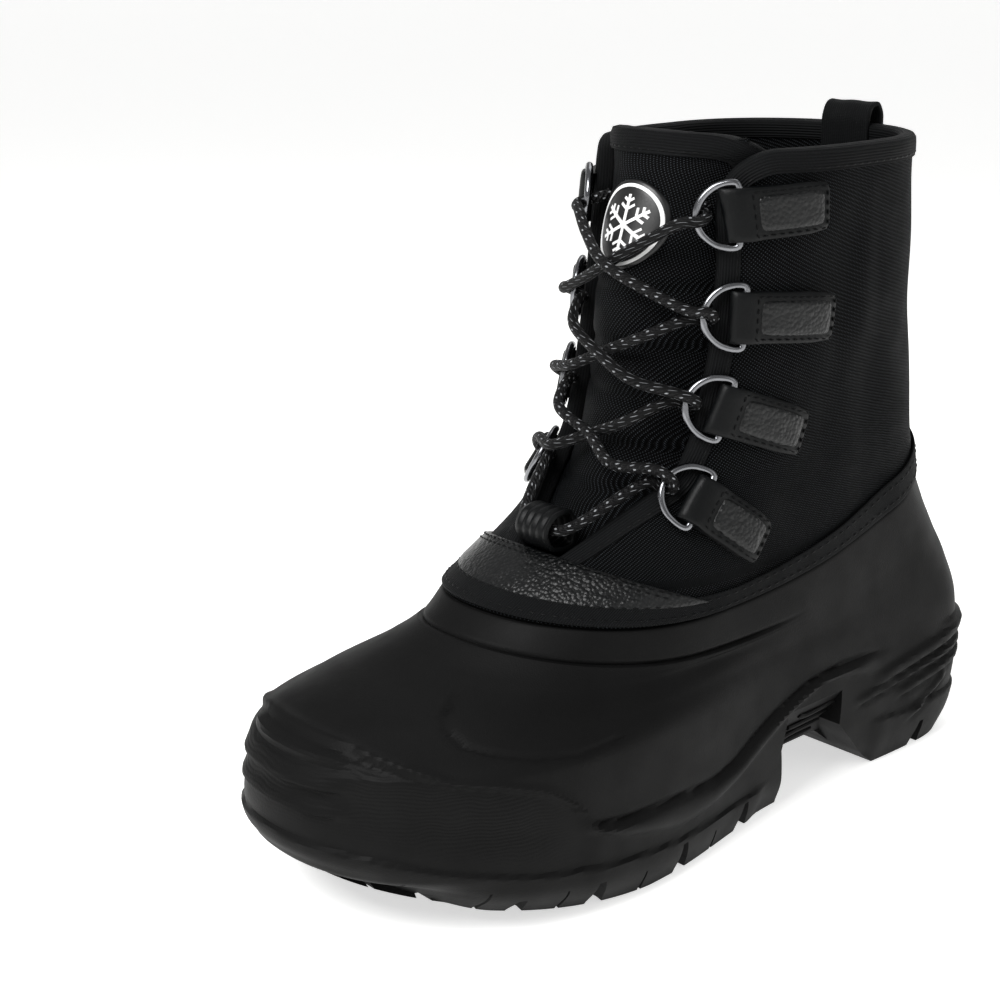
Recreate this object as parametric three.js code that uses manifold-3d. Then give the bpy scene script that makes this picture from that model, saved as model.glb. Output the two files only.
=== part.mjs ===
// Snow boot, left foot: a moulded foam shell with a lugged sole, a padded nylon shaft sewn into its
// edge, a padded tongue with its gusset, and a round lace that runs through four pairs of D-rings.
// Millimetres, +Z up. Toe towards -Y, outer side of the foot at +X, tread on Z = 0.
// "along" is the distance from the back of the heel towards the toe.
import * as THREE from "three";
import { mergeVertices } from "three/addons/utils/BufferGeometryUtils.js";
import Module from "manifold-3d";

const wasm = await Module();
wasm.setup();

// ---- driving dimensions
// Place along the foot that stands at the origin. The heel's back is at -6 and the toe's tip at 312.
const MIDDLE = 153;
const SWING_SHIFT = 2.1; // moves the boot sideways so that its box is centred on X = 0
const GAP = 0.3; // between pieces that touch
const SEAT_GAP = 0.5; // shaft over the shell's rim, whose faces twist
const SHELL_WALL = 5; // moulded foam
const SHAFT_WALL = 5; // nylon, foam and pile lining together
const RING_STEPS = 10; // points in each rounded quarter of a section
const MIDDLE_STEPS = 6; // points between the rounded ends
const LACE_DIAMETER = 4;
const WIRE_DIAMETER = 2.8; // D-ring wire

const NAVY_BLACK = 0x14161a;
const MATERIALS = {
  foam: new THREE.MeshStandardMaterial({ color: 0x17181a, roughness: 0.72, metalness: 0 }),
  nylon: new THREE.MeshStandardMaterial({ color: 0x101114, roughness: 0.85, metalness: 0 }),
  leather: new THREE.MeshStandardMaterial({ color: NAVY_BLACK, roughness: 0.4, metalness: 0 }),
  webbing: new THREE.MeshStandardMaterial({ color: 0x111214, roughness: 0.8, metalness: 0 }),
  lace: new THREE.MeshStandardMaterial({ color: 0x1b1c1f, roughness: 0.7, metalness: 0 }),
  nickel: new THREE.MeshStandardMaterial({ color: 0xc4c6c9, roughness: 0.22, metalness: 1 }),
};

// ---- section tables
// A section is a nearly level ring round the boot. back and front are its ends along the foot, zBack
// and zFront the heights there. sag is how far its middle hangs below that slope, and spring how far
// its toe end turns up. The half widths are at heel, waist and ball. heelRound and toeRound are the
// lengths of the two rounded ends, heelPower and toePower how square they are, and swing how far the
// toe end leans to the inner side.
const COLUMNS = ["back", "front", "zBack", "zFront", "sag", "spring", "heelHalf", "waistHalf",
  "ballHalf", "heelRound", "toeRound", "swing", "heelPower", "toePower"];

function table(rows) {
  return rows.map((row) => Object.fromEntries(COLUMNS.map((name, i) => [name, row[i]])));
}

const SHELL = table([
  [1, 298, 0, 0, 0, 17, 47.5, 44.5, 55, 38, 88, 13, 2.9, 2.2], // tread
  [-4, 308, 14, 14, 0, 13, 51.5, 50, 61, 42, 88, 13, 3, 2.2],
  [-6, 312, 34, 38, 0, 0, 53, 52, 62, 42, 88, 13, 3, 2.2], // widest
  [-5, 311, 58, 60, 2, 0, 51.8, 52, 61, 42, 88, 12, 2.9, 2.2],
  [0, 290, 77, 70, 6, 0, 50, 51, 55, 42, 84, 11, 2.6, 2.2], // top of the toe box
  [7, 259, 92, 79, 11, 0, 49, 51, 50.5, 42, 78, 8, 2.4, 2.2],
  [13, 241, 107, 87, 19.5, 0, 48.8, 51, 50, 42, 72, 5, 2.2, 2.2], // ridge line
  [19, 231, 121, 94.5, 15, 0, 48.5, 50.5, 49.5, 44, 68, 4, 2.1, 2.2], // rim
]);
const SHAFT = table([
  [19, 231, 121, 94.5, 15, 0, 48.5, 50.5, 49.5, 44, 68, 4, 2.1, 2.2], // on the shell's rim
  [22, 194, 141, 117, 11, 0, 47.8, 49.5, 48, 45, 64, 2, 2.1, 2.2], // instep
  [24, 172, 168, 145, 5, 0, 46.5, 48, 46.5, 48, 62, 0, 2.1, 2.2], // ankle
  [28, 164, 200, 192, 0, 0, 47.5, 48.5, 47.5, 50, 64, 0, 2.1, 2.1],
  [33, 154, 246, 245, 0, 0, 49.4, 49.4, 49.4, 50, 58, 0, 2.1, 2.2], // collar
]);
const RIM = SHELL.length - 1;
const COLLAR = SHAFT.length - 1;
// The toe turns up from this share of the length.
const SPRING_START = 0.62;
// The footbed closes the shell's hollow from below.
const FOOTBED = table([
  [15, 288, 27, 25, 3, 3, 36, 36, 46, 32, 78, 12, 2.3, 2.2],
])[0];

// ---- the sections' functions

// Monotone cubic through (0, ys[0]), (1, ys[1]), ... read at x.
function glide(ys, x) {
  const last = ys.length - 1;
  const i = Math.min(Math.max(Math.floor(x), 0), last - 1);
  const step = ys.map((y, k) => (k < last ? ys[k + 1] - y : 0));
  const slope = (k) => {
    if (k === 0) return step[0];
    if (k === last) return step[last - 1];
    const [a, b] = [step[k - 1], step[k]];
    return a * b > 0 ? (2 * a * b) / (a + b) : 0;
  };
  const t = x - i;
  const [t2, t3] = [t * t, t * t * t];
  return (2 * t3 - 3 * t2 + 1) * ys[i] + (t3 - 2 * t2 + t) * slope(i)
    + (3 * t2 - 2 * t3) * ys[i + 1] + (t3 - t2) * slope(i + 1);
}

// The section at a level between two rows of a table.
function sectionAt(rows, level) {
  return Object.fromEntries(COLUMNS.map((name) => [name, glide(rows.map((r) => r[name]), level)]));
}

// The same section, inside a wall of the given thickness.
function inset(section, wall) {
  const inner = { ...section, back: section.back + wall, front: section.front - wall };
  for (const name of ["heelHalf", "waistHalf", "ballHalf", "heelRound", "toeRound"]) {
    inner[name] = section[name] - wall;
  }
  return inner;
}

// Centre line, half width and height of a section at a place along the foot.
function acrossAt(s, along) {
  const heelEnd = s.back + s.heelRound;
  const toeStart = s.front - s.toeRound;
  const middle = (toeStart - heelEnd) * 0.45;
  let half;
  if (along < heelEnd) half = s.heelHalf;
  else if (along < heelEnd + middle) {
    half = THREE.MathUtils.lerp(s.heelHalf, s.waistHalf, ease((along - heelEnd) / middle));
  } else {
    const t = Math.min((along - heelEnd - middle) / (toeStart - heelEnd - middle), 1);
    half = THREE.MathUtils.lerp(s.waistHalf, s.ballHalf, ease(t));
  }
  if (along < heelEnd) half *= roundEnd((heelEnd - along) / s.heelRound, s.heelPower);
  if (along > toeStart) half *= roundEnd((along - toeStart) / s.toeRound, s.toePower);
  const t = (along - s.back) / (s.front - s.back);
  return {
    centre: -s.swing * Math.max((t - 0.55) / 0.45, 0) ** 2,
    half,
    z: s.zBack + (s.zFront - s.zBack) * t - s.sag * 4 * t * (1 - t)
      + s.spring * Math.max((t - SPRING_START) / (1 - SPRING_START), 0) ** 1.8,
  };
}

function ease(t) {
  return t * t * (3 - 2 * t);
}

// Superellipse: 1 at distance 0, 0 at distance 1.
function roundEnd(distance, power) {
  return (1 - Math.min(Math.max(distance, 0), 1) ** power) ** (1 / power);
}

// A point of the boot, from its place across, along and up.
function place(across, along, z) {
  return new THREE.Vector3(across + SWING_SHIFT, MIDDLE - along, z);
}

// Closed ring of points: heel, outer side, toe, inner side.
function ring(s, lift = 0) {
  const places = [];
  for (let i = 0; i < RING_STEPS; i++) {
    const c = Math.cos((Math.PI / 2) * (i / RING_STEPS));
    places.push(s.back + s.heelRound * (1 - c ** (2 / s.heelPower)));
  }
  const [from, to] = [s.back + s.heelRound, s.front - s.toeRound];
  for (let i = 0; i < MIDDLE_STEPS; i++) places.push(from + ((to - from) * i) / MIDDLE_STEPS);
  for (let i = 0; i <= RING_STEPS; i++) {
    const c = Math.sin((Math.PI / 2) * (i / RING_STEPS));
    places.push(to + s.toeRound * c ** (2 / s.toePower));
  }
  const outer = places.map((along) => {
    const p = acrossAt(s, along);
    return place(p.centre + p.half, along, p.z + lift);
  });
  const inner = places.slice(1, -1).reverse().map((along) => {
    const p = acrossAt(s, along);
    return place(p.centre - p.half, along, p.z + lift);
  });
  return [...outer, ...inner];
}

// Skin between rings of the same count. Open ends are closed by rungs from side to side, and a loop
// joins the last ring to the first instead.
function loft(rings, { loop = false } = {}) {
  const n = rings[0].length;
  const index = [];
  const joins = loop ? rings.length : rings.length - 1;
  for (let r = 0; r < joins; r++) {
    const [a, b] = [r * n, ((r + 1) % rings.length) * n];
    for (let i = 0; i < n; i++) {
      const j = (i + 1) % n;
      index.push(a + i, b + i, b + j, a + i, b + j, a + j);
    }
  }
  if (!loop) {
    const top = (rings.length - 1) * n;
    for (let i = 0; i < n / 2; i++) {
      const [p, q, r, s] = [i, i + 1, n - i - 1, (n - i) % n];
      if (q < r) index.push(p, q, r, top + p, top + r, top + q);
      if (i > 0) index.push(p, r, s, top + p, top + s, top + r);
    }
  }
  const geometry = new THREE.BufferGeometry().setFromPoints(rings.flat());
  geometry.setIndex(index);
  return geometry;
}

// ---- solids
function solid(geometry) {
  const bare = geometry.clone();
  bare.deleteAttribute("normal");
  bare.deleteAttribute("uv");
  const merged = mergeVertices(bare, 1e-4);
  return new wasm.Manifold(new wasm.Mesh({
    numProp: 3,
    vertProperties: new Float32Array(merged.attributes.position.array),
    triVerts: new Uint32Array(merged.index.array),
  }));
}

function geometryOf(body) {
  const mesh = body.getMesh();
  const positions = new Float32Array(mesh.numVert * 3);
  for (let i = 0; i < mesh.numVert; i++) {
    positions.set(mesh.vertProperties.subarray(i * mesh.numProp, i * mesh.numProp + 3), i * 3);
  }
  const geometry = new THREE.BufferGeometry();
  geometry.setAttribute("position", new THREE.BufferAttribute(positions, 3));
  geometry.setIndex(new THREE.BufferAttribute(mesh.triVerts, 1));
  geometry.computeVertexNormals();
  return geometry;
}

// Prism whose outline lies in the plane of two axes, from one end to the other along the third.
function prism(points, axes, from, to) {
  const shape = new THREE.Shape(points.map(([u, v]) => new THREE.Vector2(u, v)));
  const geometry = new THREE.ExtrudeGeometry(shape, { depth: to - from, bevelEnabled: false });
  geometry.translate(0, 0, from);
  geometry.applyMatrix4(new THREE.Matrix4().makeBasis(...axes));
  return solid(geometry);
}

const X = new THREE.Vector3(1, 0, 0);
const Y = new THREE.Vector3(0, 1, 0);
const Z = new THREE.Vector3(0, 0, 1);

function tube(points, diameter, sides = 8, steps = 10) {
  const section = new THREE.Shape();
  section.absarc(0, 0, diameter / 2, 0, Math.PI * 2);
  const path = new THREE.CatmullRomCurve3(points, false, "centripetal");
  return solid(new THREE.ExtrudeGeometry(section, {
    extrudePath: path,
    steps,
    curveSegments: Math.round(sides / 2),
    bevelEnabled: false,
  }));
}

const boot = new THREE.Group();

function addNode(name, geometry, material) {
  const mesh = new THREE.Mesh(geometry, material);
  mesh.name = name;
  boot.add(mesh);
}

// ---- shell and sole: one moulding
// Side notches between the lugs: place along the foot, width at the tread, and height.
const NOTCHES = [
  { along: 278, wide: 9, high: 13 },
  { along: 255, wide: 9, high: 12 },
  { along: 227, wide: 9, high: 12 },
  { along: 186, wide: 8, high: 12 },
  { along: 146, wide: 9, high: 12 },
  { along: 38, wide: 8, high: 11 },
];
const NOTCH_REACH = 17; // how far a notch runs in from the side
const GROOVE = { wide: 5, deep: 5 }; // across the whole tread, notch to notch
// Raised waist between heel and ball. The heel's front face leans forward. On both flanks the waist
// is cut back, from its edge half-way down the side to the arch's own edge.
const ARCH = { rear: 64, lean: 20, front: 120, high: 15 };
const FLANK = { rear: 92, front: 127, low: 26, high: 41, edgeHalf: 52.5, archHalf: 34 };
const TREAD_HALF = 70; // wider than the sole

function notchPrism({ along, wide, high }, from, to) {
  const y = MIDDLE - along;
  const outline = [[y - wide / 2, -2], [y + wide / 2, -2], [y + 1.2, high], [y - 1.2, high]];
  return prism(outline, [Y, Z, X], from, to);
}

// Rows of the table, and levels between them, that the skin passes through.
const OUTSIDE_LEVELS = [0, 1, 2, 2.6, 3.3, 4, 4.5, 5, 5.5, 6, 6.5, RIM];
const INSIDE_LEVELS = [RIM, 6.3, 5.6, 5, 4.4, 3.8, 3, 2.3];

function archCut() {
  const middle = MIDDLE;
  const outline = [
    [middle - ARCH.rear, -2], [middle - ARCH.rear, 0], [middle - ARCH.rear - ARCH.lean, ARCH.high],
    [middle - ARCH.front + 16, ARCH.high], [middle - ARCH.front + 4, 8], [middle - ARCH.front, -2],
  ];
  return prism(outline, [Y, Z, X], -TREAD_HALF, TREAD_HALF);
}

function flankCut(side) {
  const middle = MIDDLE;
  const outline = [
    [middle - ARCH.rear, -2], [middle - FLANK.rear, FLANK.low], [middle - FLANK.rear, FLANK.high],
    [middle - FLANK.front + 3, FLANK.high], [middle - FLANK.front, FLANK.low], [middle - ARCH.front, -2],
  ];
  const across = (half) => SWING_SHIFT + side * half;
  const wedge = [[across(FLANK.archHalf), -2], [across(FLANK.archHalf), ARCH.high],
    [across(FLANK.edgeHalf), FLANK.high], [across(TREAD_HALF), FLANK.high], [across(TREAD_HALF), -2]];
  const long = prism(wedge, [X, Z, Y.clone().negate()], -middle, middle);
  return long.intersect(prism(outline, [Y, Z, X], -TREAD_HALF, TREAD_HALF));
}

function shellSole() {
  const outside = OUTSIDE_LEVELS.map((v) => ring(sectionAt(SHELL, v)));
  const inside = INSIDE_LEVELS.map((v) => ring(inset(sectionAt(SHELL, v), SHELL_WALL)));
  let body = solid(loft([...outside, ...inside, ring(FOOTBED)]));
  const middle = MIDDLE;
  body = body.subtract(archCut()).subtract(flankCut(1)).subtract(flankCut(-1));
  for (const notch of NOTCHES) {
    const edge = acrossAt(SHELL[0], notch.along);
    const y = middle - notch.along;
    const groove = [[y - GROOVE.wide / 2, -2], [y + GROOVE.wide / 2, -2],
      [y + GROOVE.wide / 2 - 1, GROOVE.deep], [y - GROOVE.wide / 2 + 1, GROOVE.deep]];
    body = body
      .subtract(notchPrism(notch, edge.centre + edge.half - NOTCH_REACH, TREAD_HALF))
      .subtract(notchPrism(notch, -TREAD_HALF, edge.centre - edge.half + NOTCH_REACH))
      .subtract(prism(groove, [Y, Z, X], -TREAD_HALF, TREAD_HALF));
  }
  return geometryOf(body);
}
addNode("shell_sole", shellSole(), MATERIALS.foam);

// ---- insole
const INSOLE = { thick: 4, clear: 1.5 };
function insole() {
  const bed = inset(FOOTBED, INSOLE.clear);
  return loft([ring(bed, GAP), ring(bed, GAP + INSOLE.thick)]);
}
addNode("insole", insole(), MATERIALS.webbing);

// ---- shaft: hollow upper, open at collar, throat and underneath
// Half width of the throat at each height. It closes at the foot and flares at the collar.
const THROAT = [
  { z: 106, half: 9 }, { z: 120, half: 18 }, { z: 134, half: 29 }, { z: 150, half: 31 },
  { z: 180, half: 32 }, { z: 209, half: 31 }, { z: 230, half: 28.5 }, { z: 238, half: 31 },
  { z: 242, half: 34.5 }, { z: 245, half: 39 }, { z: 247, half: 43 }, { z: 260, half: 50 },
];
const THROAT_BACK = 112; // the cut stops here, ahead of the ankle

function throatHalf(z) {
  const i = Math.min(Math.max(THROAT.findIndex((row) => row.z > z), 1), THROAT.length - 1);
  const [a, b] = [THROAT[i - 1], THROAT[i]];
  return THREE.MathUtils.lerp(a.half, b.half, THREE.MathUtils.clamp((z - a.z) / (b.z - a.z), 0, 1));
}

const SHAFT_LEVELS = [0, 0.5, 1, 1.5, 2, 2.5, 3, 3.5, COLLAR];
function shaft() {
  const outside = SHAFT_LEVELS.map((v) => ring(sectionAt(SHAFT, v), SEAT_GAP));
  const inside = [...SHAFT_LEVELS].reverse()
    .map((v) => ring(inset(sectionAt(SHAFT, v), SHAFT_WALL), SEAT_GAP));
  const wall = solid(loft([...outside, ...inside], { loop: true }));
  const right = THROAT.map(({ z, half }) => [SWING_SHIFT + half, z]);
  const left = THROAT.map(({ z, half }) => [SWING_SHIFT - half, z]).reverse();
  const cut = prism([...right, ...left], [X, Z, Y.clone().negate()], THROAT_BACK - MIDDLE, MIDDLE);
  return geometryOf(wall.subtract(cut));
}
addNode("shaft", shaft(), MATERIALS.nylon);

// ---- places on the shaft's outer surface
// The section whose height at this place along the foot is z.
function shaftSectionAt(along, z) {
  let [low, high] = [0, COLLAR];
  for (let i = 0; i < 30; i++) {
    const level = (low + high) / 2;
    if (acrossAt(sectionAt(SHAFT, level), along).z < z) low = level;
    else high = level;
  }
  return sectionAt(SHAFT, (low + high) / 2);
}

function onShaft(side, along, z) {
  const p = acrossAt(shaftSectionAt(along, z), along);
  return place(p.centre + side * p.half, along, z + SEAT_GAP);
}

function shaftNormal(side, along, z) {
  const p = onShaft(side, along, z);
  const forward = onShaft(side, along + 1, z).sub(p);
  const up = onShaft(side, along, z + 1).sub(p);
  return forward.cross(up).normalize().multiplyScalar(-side);
}

// Place along the foot where the front of the shaft, inside its wall, crosses (across, z).
function shaftFrontInside(across, z) {
  let along = 150;
  for (let i = 0; i < 25; i++) {
    const s = inset(shaftSectionAt(Math.min(along, 226), z), SHAFT_WALL);
    const off = Math.min(Math.abs(across) / s.ballHalf, 1);
    along = (along + s.front - s.toeRound + s.toeRound * roundEnd(off, s.toePower)) / 2;
  }
  return along;
}

// ---- tongue
// Front of the tongue on the centre line, half width and thickness at each height.
const TONGUE = [
  { z: 104, front: 188, half: 17, thick: 6 },
  { z: 116, front: 186, half: 22, thick: 8 },
  { z: 132, front: 178, half: 32, thick: 9 },
  { z: 150, front: 171, half: 36, thick: 9 },
  { z: 172, front: 168, half: 37, thick: 9 },
  { z: 200, front: 168, half: 38, thick: 9 },
  { z: 220, front: 163, half: 38, thick: 9 },
  { z: 238, front: 157, half: 37, thick: 8 },
  { z: 250, front: 153, half: 34, thick: 7 },
];
const TONGUE_CLEAR = 1.2; // from the shaft's inner wall
const TONGUE_STEPS = 12;

function tongue() {
  const rings = TONGUE.map(({ z, front, half, thick }) => {
    const wall = Math.min(z, 243);
    const bulge = front - shaftFrontInside(0, wall) + TONGUE_CLEAR;
    // It swells out through the throat, and lies back as a whole below the throat's foot.
    const reach = bulge > 0 ? throatHalf(z) - 4 : 1.5 * half;
    const outer = [];
    const inner = [];
    for (let i = 0; i <= TONGUE_STEPS; i++) {
      const across = half * (1 - (2 * i) / TONGUE_STEPS);
      const swell = Math.max(1 - (across / reach) ** 2, 0);
      const along = shaftFrontInside(across, wall) - TONGUE_CLEAR + bulge * swell;
      const depth = thick * (0.4 + 0.6 * roundEnd(Math.abs(across / half), 2.5));
      outer.push(place(across, along, z));
      inner.push(place(across, along - depth, z));
    }
    return [...outer, ...inner.reverse()];
  });
  return tongueSkin(rings);
}

// Each tongue ring is a front row and a back row of the same count, so the ends close rung by rung.
function tongueSkin(rings) {
  const n = rings[0].length;
  const index = [];
  for (let r = 0; r < rings.length - 1; r++) {
    for (let i = 0; i < n; i++) {
      const [a, b, j] = [r * n, (r + 1) * n, (i + 1) % n];
      index.push(a + i, b + i, b + j, a + i, b + j, a + j);
    }
  }
  const top = (rings.length - 1) * n;
  for (let i = 0; i < n / 2 - 1; i++) {
    const [p, q, r, s] = [i, i + 1, n - i - 2, n - i - 1];
    index.push(p, q, r, p, r, s, top + p, top + r, top + q, top + p, top + s, top + r);
  }
  const geometry = new THREE.BufferGeometry().setFromPoints(rings.flat());
  geometry.setIndex(index);
  return geometryOf(solid(geometry));
}
addNode("tongue", tongue(), MATERIALS.nylon);

// ---- ring tabs and D-rings
// Rows from the top. A tab's centre line runs on the shaft from its fold to its far end.
const ROWS = [
  { fold: [145.5, 224.5], end: [113, 227] },
  { fold: [145.5, 190], end: [107, 187] },
  { fold: [152, 158.5], end: [119.5, 146] },
  { fold: [164, 128], end: [141.5, 109.5] },
];
const TAB = { half: 9, foldThick: 6.4, thick: 3.4, steps: 6, foldShare: 0.22 };
const RING = { half: 10.5, reach: 14 };
const SIDES = [{ name: "outer", sign: 1 }, { name: "inner", sign: -1 }];

// Frame at the fold of a tab: its middle, the way to the throat, the way of the bar, and outwards.
function foldFrame(row, side) {
  const [along, z] = row.fold;
  const [endAlong, endZ] = row.end;
  const length = Math.hypot(endAlong - along, endZ - z);
  const [stepAlong, stepZ] = [(along - endAlong) / length, (z - endZ) / length];
  const out = shaftNormal(side, along, z);
  const middle = onShaft(side, along, z).addScaledVector(out, GAP + TAB.foldThick / 2);
  const forward = onShaft(side, along + stepAlong, z + stepZ).sub(onShaft(side, along, z)).normalize();
  forward.addScaledVector(out, -forward.dot(out)).normalize();
  const bar = new THREE.Vector3().crossVectors(out, forward).normalize();
  return { middle, forward, bar: bar.z < 0 ? bar.negate() : bar, out };
}

function ringTab(row, side) {
  const [along, z] = row.fold;
  const [endAlong, endZ] = row.end;
  const length = Math.hypot(endAlong - along, endZ - z);
  const [stepAlong, stepZ] = [(endAlong - along) / length, (endZ - z) / length];
  const rings = [];
  for (let i = 0; i <= TAB.steps; i++) {
    const run = (length * i) / TAB.steps;
    const thick = i / TAB.steps < TAB.foldShare ? TAB.foldThick : TAB.thick;
    const section = [];
    for (const [off, lift] of [[-1, 0], [0, 0], [1, 0], [1, 1], [0, 1], [-1, 1]]) {
      const a = along + stepAlong * run - stepZ * off * TAB.half;
      const h = z + stepZ * run + stepAlong * off * TAB.half;
      const raise = 2 * GAP + (i === 0 && lift ? 0.8 * thick : thick * lift);
      section.push(onShaft(side, a, h).addScaledVector(shaftNormal(side, a, h), raise));
    }
    rings.push(side < 0 ? section : section.reverse());
  }
  const n = 6;
  const index = [];
  for (let r = 0; r < rings.length - 1; r++) {
    for (let i = 0; i < n; i++) {
      const [a, b, j] = [r * n, (r + 1) * n, (i + 1) % n];
      index.push(a + i, b + j, b + i, a + i, a + j, b + j);
    }
  }
  const top = (rings.length - 1) * n;
  for (const [p, q, r, s] of [[0, 1, 4, 5], [1, 2, 3, 4]]) {
    index.push(p, r, q, p, s, r, top + p, top + q, top + r, top + p, top + r, top + s);
  }
  const geometry = new THREE.BufferGeometry().setFromPoints(rings.flat());
  geometry.setIndex(index);
  const { middle, bar, forward } = foldFrame(row, side);
  const seat = middle.clone().addScaledVector(forward, -BAR_SETBACK);
  const bore = tube([
    seat.clone().addScaledVector(bar, -2 * TAB.half),
    seat.clone(),
    seat.clone().addScaledVector(bar, 2 * TAB.half),
  ], WIRE_DIAMETER + 4 * GAP, 8, 2);
  return geometryOf(solid(geometry).subtract(bore));
}
const BAR_SETBACK = 3.2; // the ring's bar lies this far inside the fold

function dRing(row, side) {
  const { middle, bar, forward, out } = foldFrame(row, side);
  const at = (b, f, o = 0) => middle.clone().addScaledVector(bar, b)
    .addScaledVector(forward, f - BAR_SETBACK).addScaledVector(out, o);
  const points = [at(-RING.half, 0), at(-RING.half * 0.33, 0), at(RING.half * 0.33, 0), at(RING.half, 0)];
  for (let i = 1; i < 8; i++) {
    const turn = (Math.PI * i) / 8;
    points.push(at(RING.half * Math.cos(turn) * 1.06, 1.5 + (RING.reach - 1.5) * Math.sin(turn)));
  }
  const path = new THREE.CatmullRomCurve3(points, true, "centripetal");
  return geometryOf(solid(new THREE.TubeGeometry(path, 26, WIRE_DIAMETER / 2, 6, true)));
}

ROWS.forEach((row, i) => {
  for (const { name, sign } of SIDES) {
    addNode(`ring_tab_${name}_${i + 1}`, ringTab(row, sign), MATERIALS.leather);
    addNode(`ring_${name}_${i + 1}`, dRing(row, sign), MATERIALS.nickel);
  }
});

// ---- lace: where it passes through each ring, and over the tongue
const LACE_CLEAR = 4.2; // lace centre line to the tongue's front
const CROSS_SPREAD = 1.7; // half of the distance between two strands where they cross

function laceSeat(row, side) {
  const { middle, forward } = foldFrame(row, side);
  return middle.clone().addScaledVector(forward, RING.reach - BAR_SETBACK - 2.2);
}

function tongueFront(z) {
  const i = Math.min(Math.max(TONGUE.findIndex((row) => row.z > z), 1), TONGUE.length - 1);
  const [a, b] = [TONGUE[i - 1], TONGUE[i]];
  return THREE.MathUtils.lerp(a.front, b.front, (z - a.z) / (b.z - a.z));
}

// Two strands that cross over the middle of the tongue, stopping short of the rings.
function crossing(upper, lower, bow) {
  const strand = (from, to, above) => {
    const z = (from.z + to.z) / 2;
    const middle = place(0, tongueFront(z) + LACE_CLEAR + above, z);
    const side = (end) => end.clone().lerp(middle, 0.5).add(new THREE.Vector3(0, -bow, 0));
    const stop = (end) => end.clone().lerp(middle, STRAND_STOP);
    return tube([stop(from), side(from), middle, side(to), stop(to)], LACE_DIAMETER, 8, 8);
  };
  const first = strand(laceSeat(upper, -1), laceSeat(lower, 1), 2 * CROSS_SPREAD);
  const second = strand(laceSeat(upper, 1), laceSeat(lower, -1), 0);
  return geometryOf(first.add(second));
}
const STRAND_STOP = 0.25; // part of the way to the middle, clear of the ring
const STRAND_BOWS = [4.5, 6.5, 9]; // outwards, round the tongue's swell, from the top

for (let i = 0; i < ROWS.length - 1; i++) {
  addNode(`lace_crossing_${i + 1}`, crossing(ROWS[i], ROWS[i + 1], STRAND_BOWS[i]), MATERIALS.lace);
}

// The bar runs from one lowest ring to the other through the keeper at the foot of the throat.
const KEEPER = { along: 199, z: 115, half: 7 };
function laceBar() {
  const lowest = ROWS[ROWS.length - 1];
  const middle = place(0, KEEPER.along + 3, KEEPER.z + 3.5);
  const ends = SIDES.map(({ sign }) => laceSeat(lowest, sign).lerp(middle, STRAND_STOP));
  const sides = [1, -1].map((sign) => place(sign * (KEEPER.half + 3), KEEPER.along + 2, KEEPER.z + 4));
  return geometryOf(tube([ends[0], sides[0], middle, sides[1], ends[1]], LACE_DIAMETER, 8, 14));
}
addNode("lace_bar", laceBar(), MATERIALS.lace);

// ---- webbing loop at the foot of the throat
function laceKeeper() {
  const y = MIDDLE - KEEPER.along;
  const outside = [[y + 7, KEEPER.z - 5], [y - 6, KEEPER.z - 5], [y - 10, KEEPER.z + 3],
    [y - 6, KEEPER.z + 9], [y + 3, KEEPER.z + 10], [y + 7, KEEPER.z + 4]];
  const slot = [[y + 3.6, KEEPER.z - 1], [y - 5, KEEPER.z - 1], [y - 7.4, KEEPER.z + 3.2],
    [y - 4.6, KEEPER.z + 6.8], [y + 2, KEEPER.z + 7.6], [y + 4.6, KEEPER.z + 3.2]];
  const [from, to] = [SWING_SHIFT - KEEPER.half, SWING_SHIFT + KEEPER.half];
  return prism(outside, [Y, Z, X], from, to).subtract(prism(slot, [Y, Z, X], from - 1, to + 1));
}
addNode("lace_keeper", geometryOf(laceKeeper()), MATERIALS.webbing);

// ---- webbing pull loop at the back of the collar
const PULL = { wide: 22, high: 9, thick: 1.8, foot: 30, lean: 3.4, clear: 0.6 };
function pullLoop() {
  const y = MIDDLE - SHAFT[COLLAR].back;
  const top = SHAFT[COLLAR].zBack + SEAT_GAP;
  const [out, inside] = [y + PULL.clear, y - SHAFT_WALL - PULL.clear - 1];
  const t = PULL.thick;
  const outline = [
    [out + t + PULL.lean, top - PULL.foot], [out + t, top + 2], [out - 1, top + PULL.high],
    [inside + 1, top + PULL.high], [inside - t, top + 2], [inside - t, top - PULL.foot / 2],
    [inside, top - PULL.foot / 2], [inside, top + 2], [inside + 2, top + PULL.high - t],
    [out - 2, top + PULL.high - t], [out, top + 2], [out + PULL.lean, top - PULL.foot],
  ];
  return prism(outline, [Y, Z, X], SWING_SHIFT - PULL.wide / 2, SWING_SHIFT + PULL.wide / 2);
}
addNode("pull_loop", geometryOf(pullLoop()), MATERIALS.webbing);

export default boot;
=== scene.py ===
"""Snow boot, left foot: the looks of every piece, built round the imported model.

The boot has a moulded foam shell with a lugged sole, a padded nylon shaft, a tongue and a round lace.
Places are written as (across, along, up) in millimetres: across from the boot's centre line towards
its outer side, along from the back of the heel towards the toe, up from the floor.
"""

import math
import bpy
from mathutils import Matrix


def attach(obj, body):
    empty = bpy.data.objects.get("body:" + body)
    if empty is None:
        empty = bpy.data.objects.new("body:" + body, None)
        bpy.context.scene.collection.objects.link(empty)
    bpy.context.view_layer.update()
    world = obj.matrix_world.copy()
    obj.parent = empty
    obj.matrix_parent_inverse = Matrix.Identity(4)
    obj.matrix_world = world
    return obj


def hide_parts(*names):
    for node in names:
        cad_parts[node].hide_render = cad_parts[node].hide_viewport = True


bl_info = {
    "name": "Snow boot",
    "version": (1, 0, 0),
    "blender": (4, 5, 0),
    "location": "View3D > Sidebar > Snow boot",
    "description": "Builds a left snow boot from its sections, with its stage, lights and camera",
    "category": "Object",
}

import bpy
import numpy as np
from mathutils import Vector
from mathutils.bvhtree import BVHTree

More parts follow.
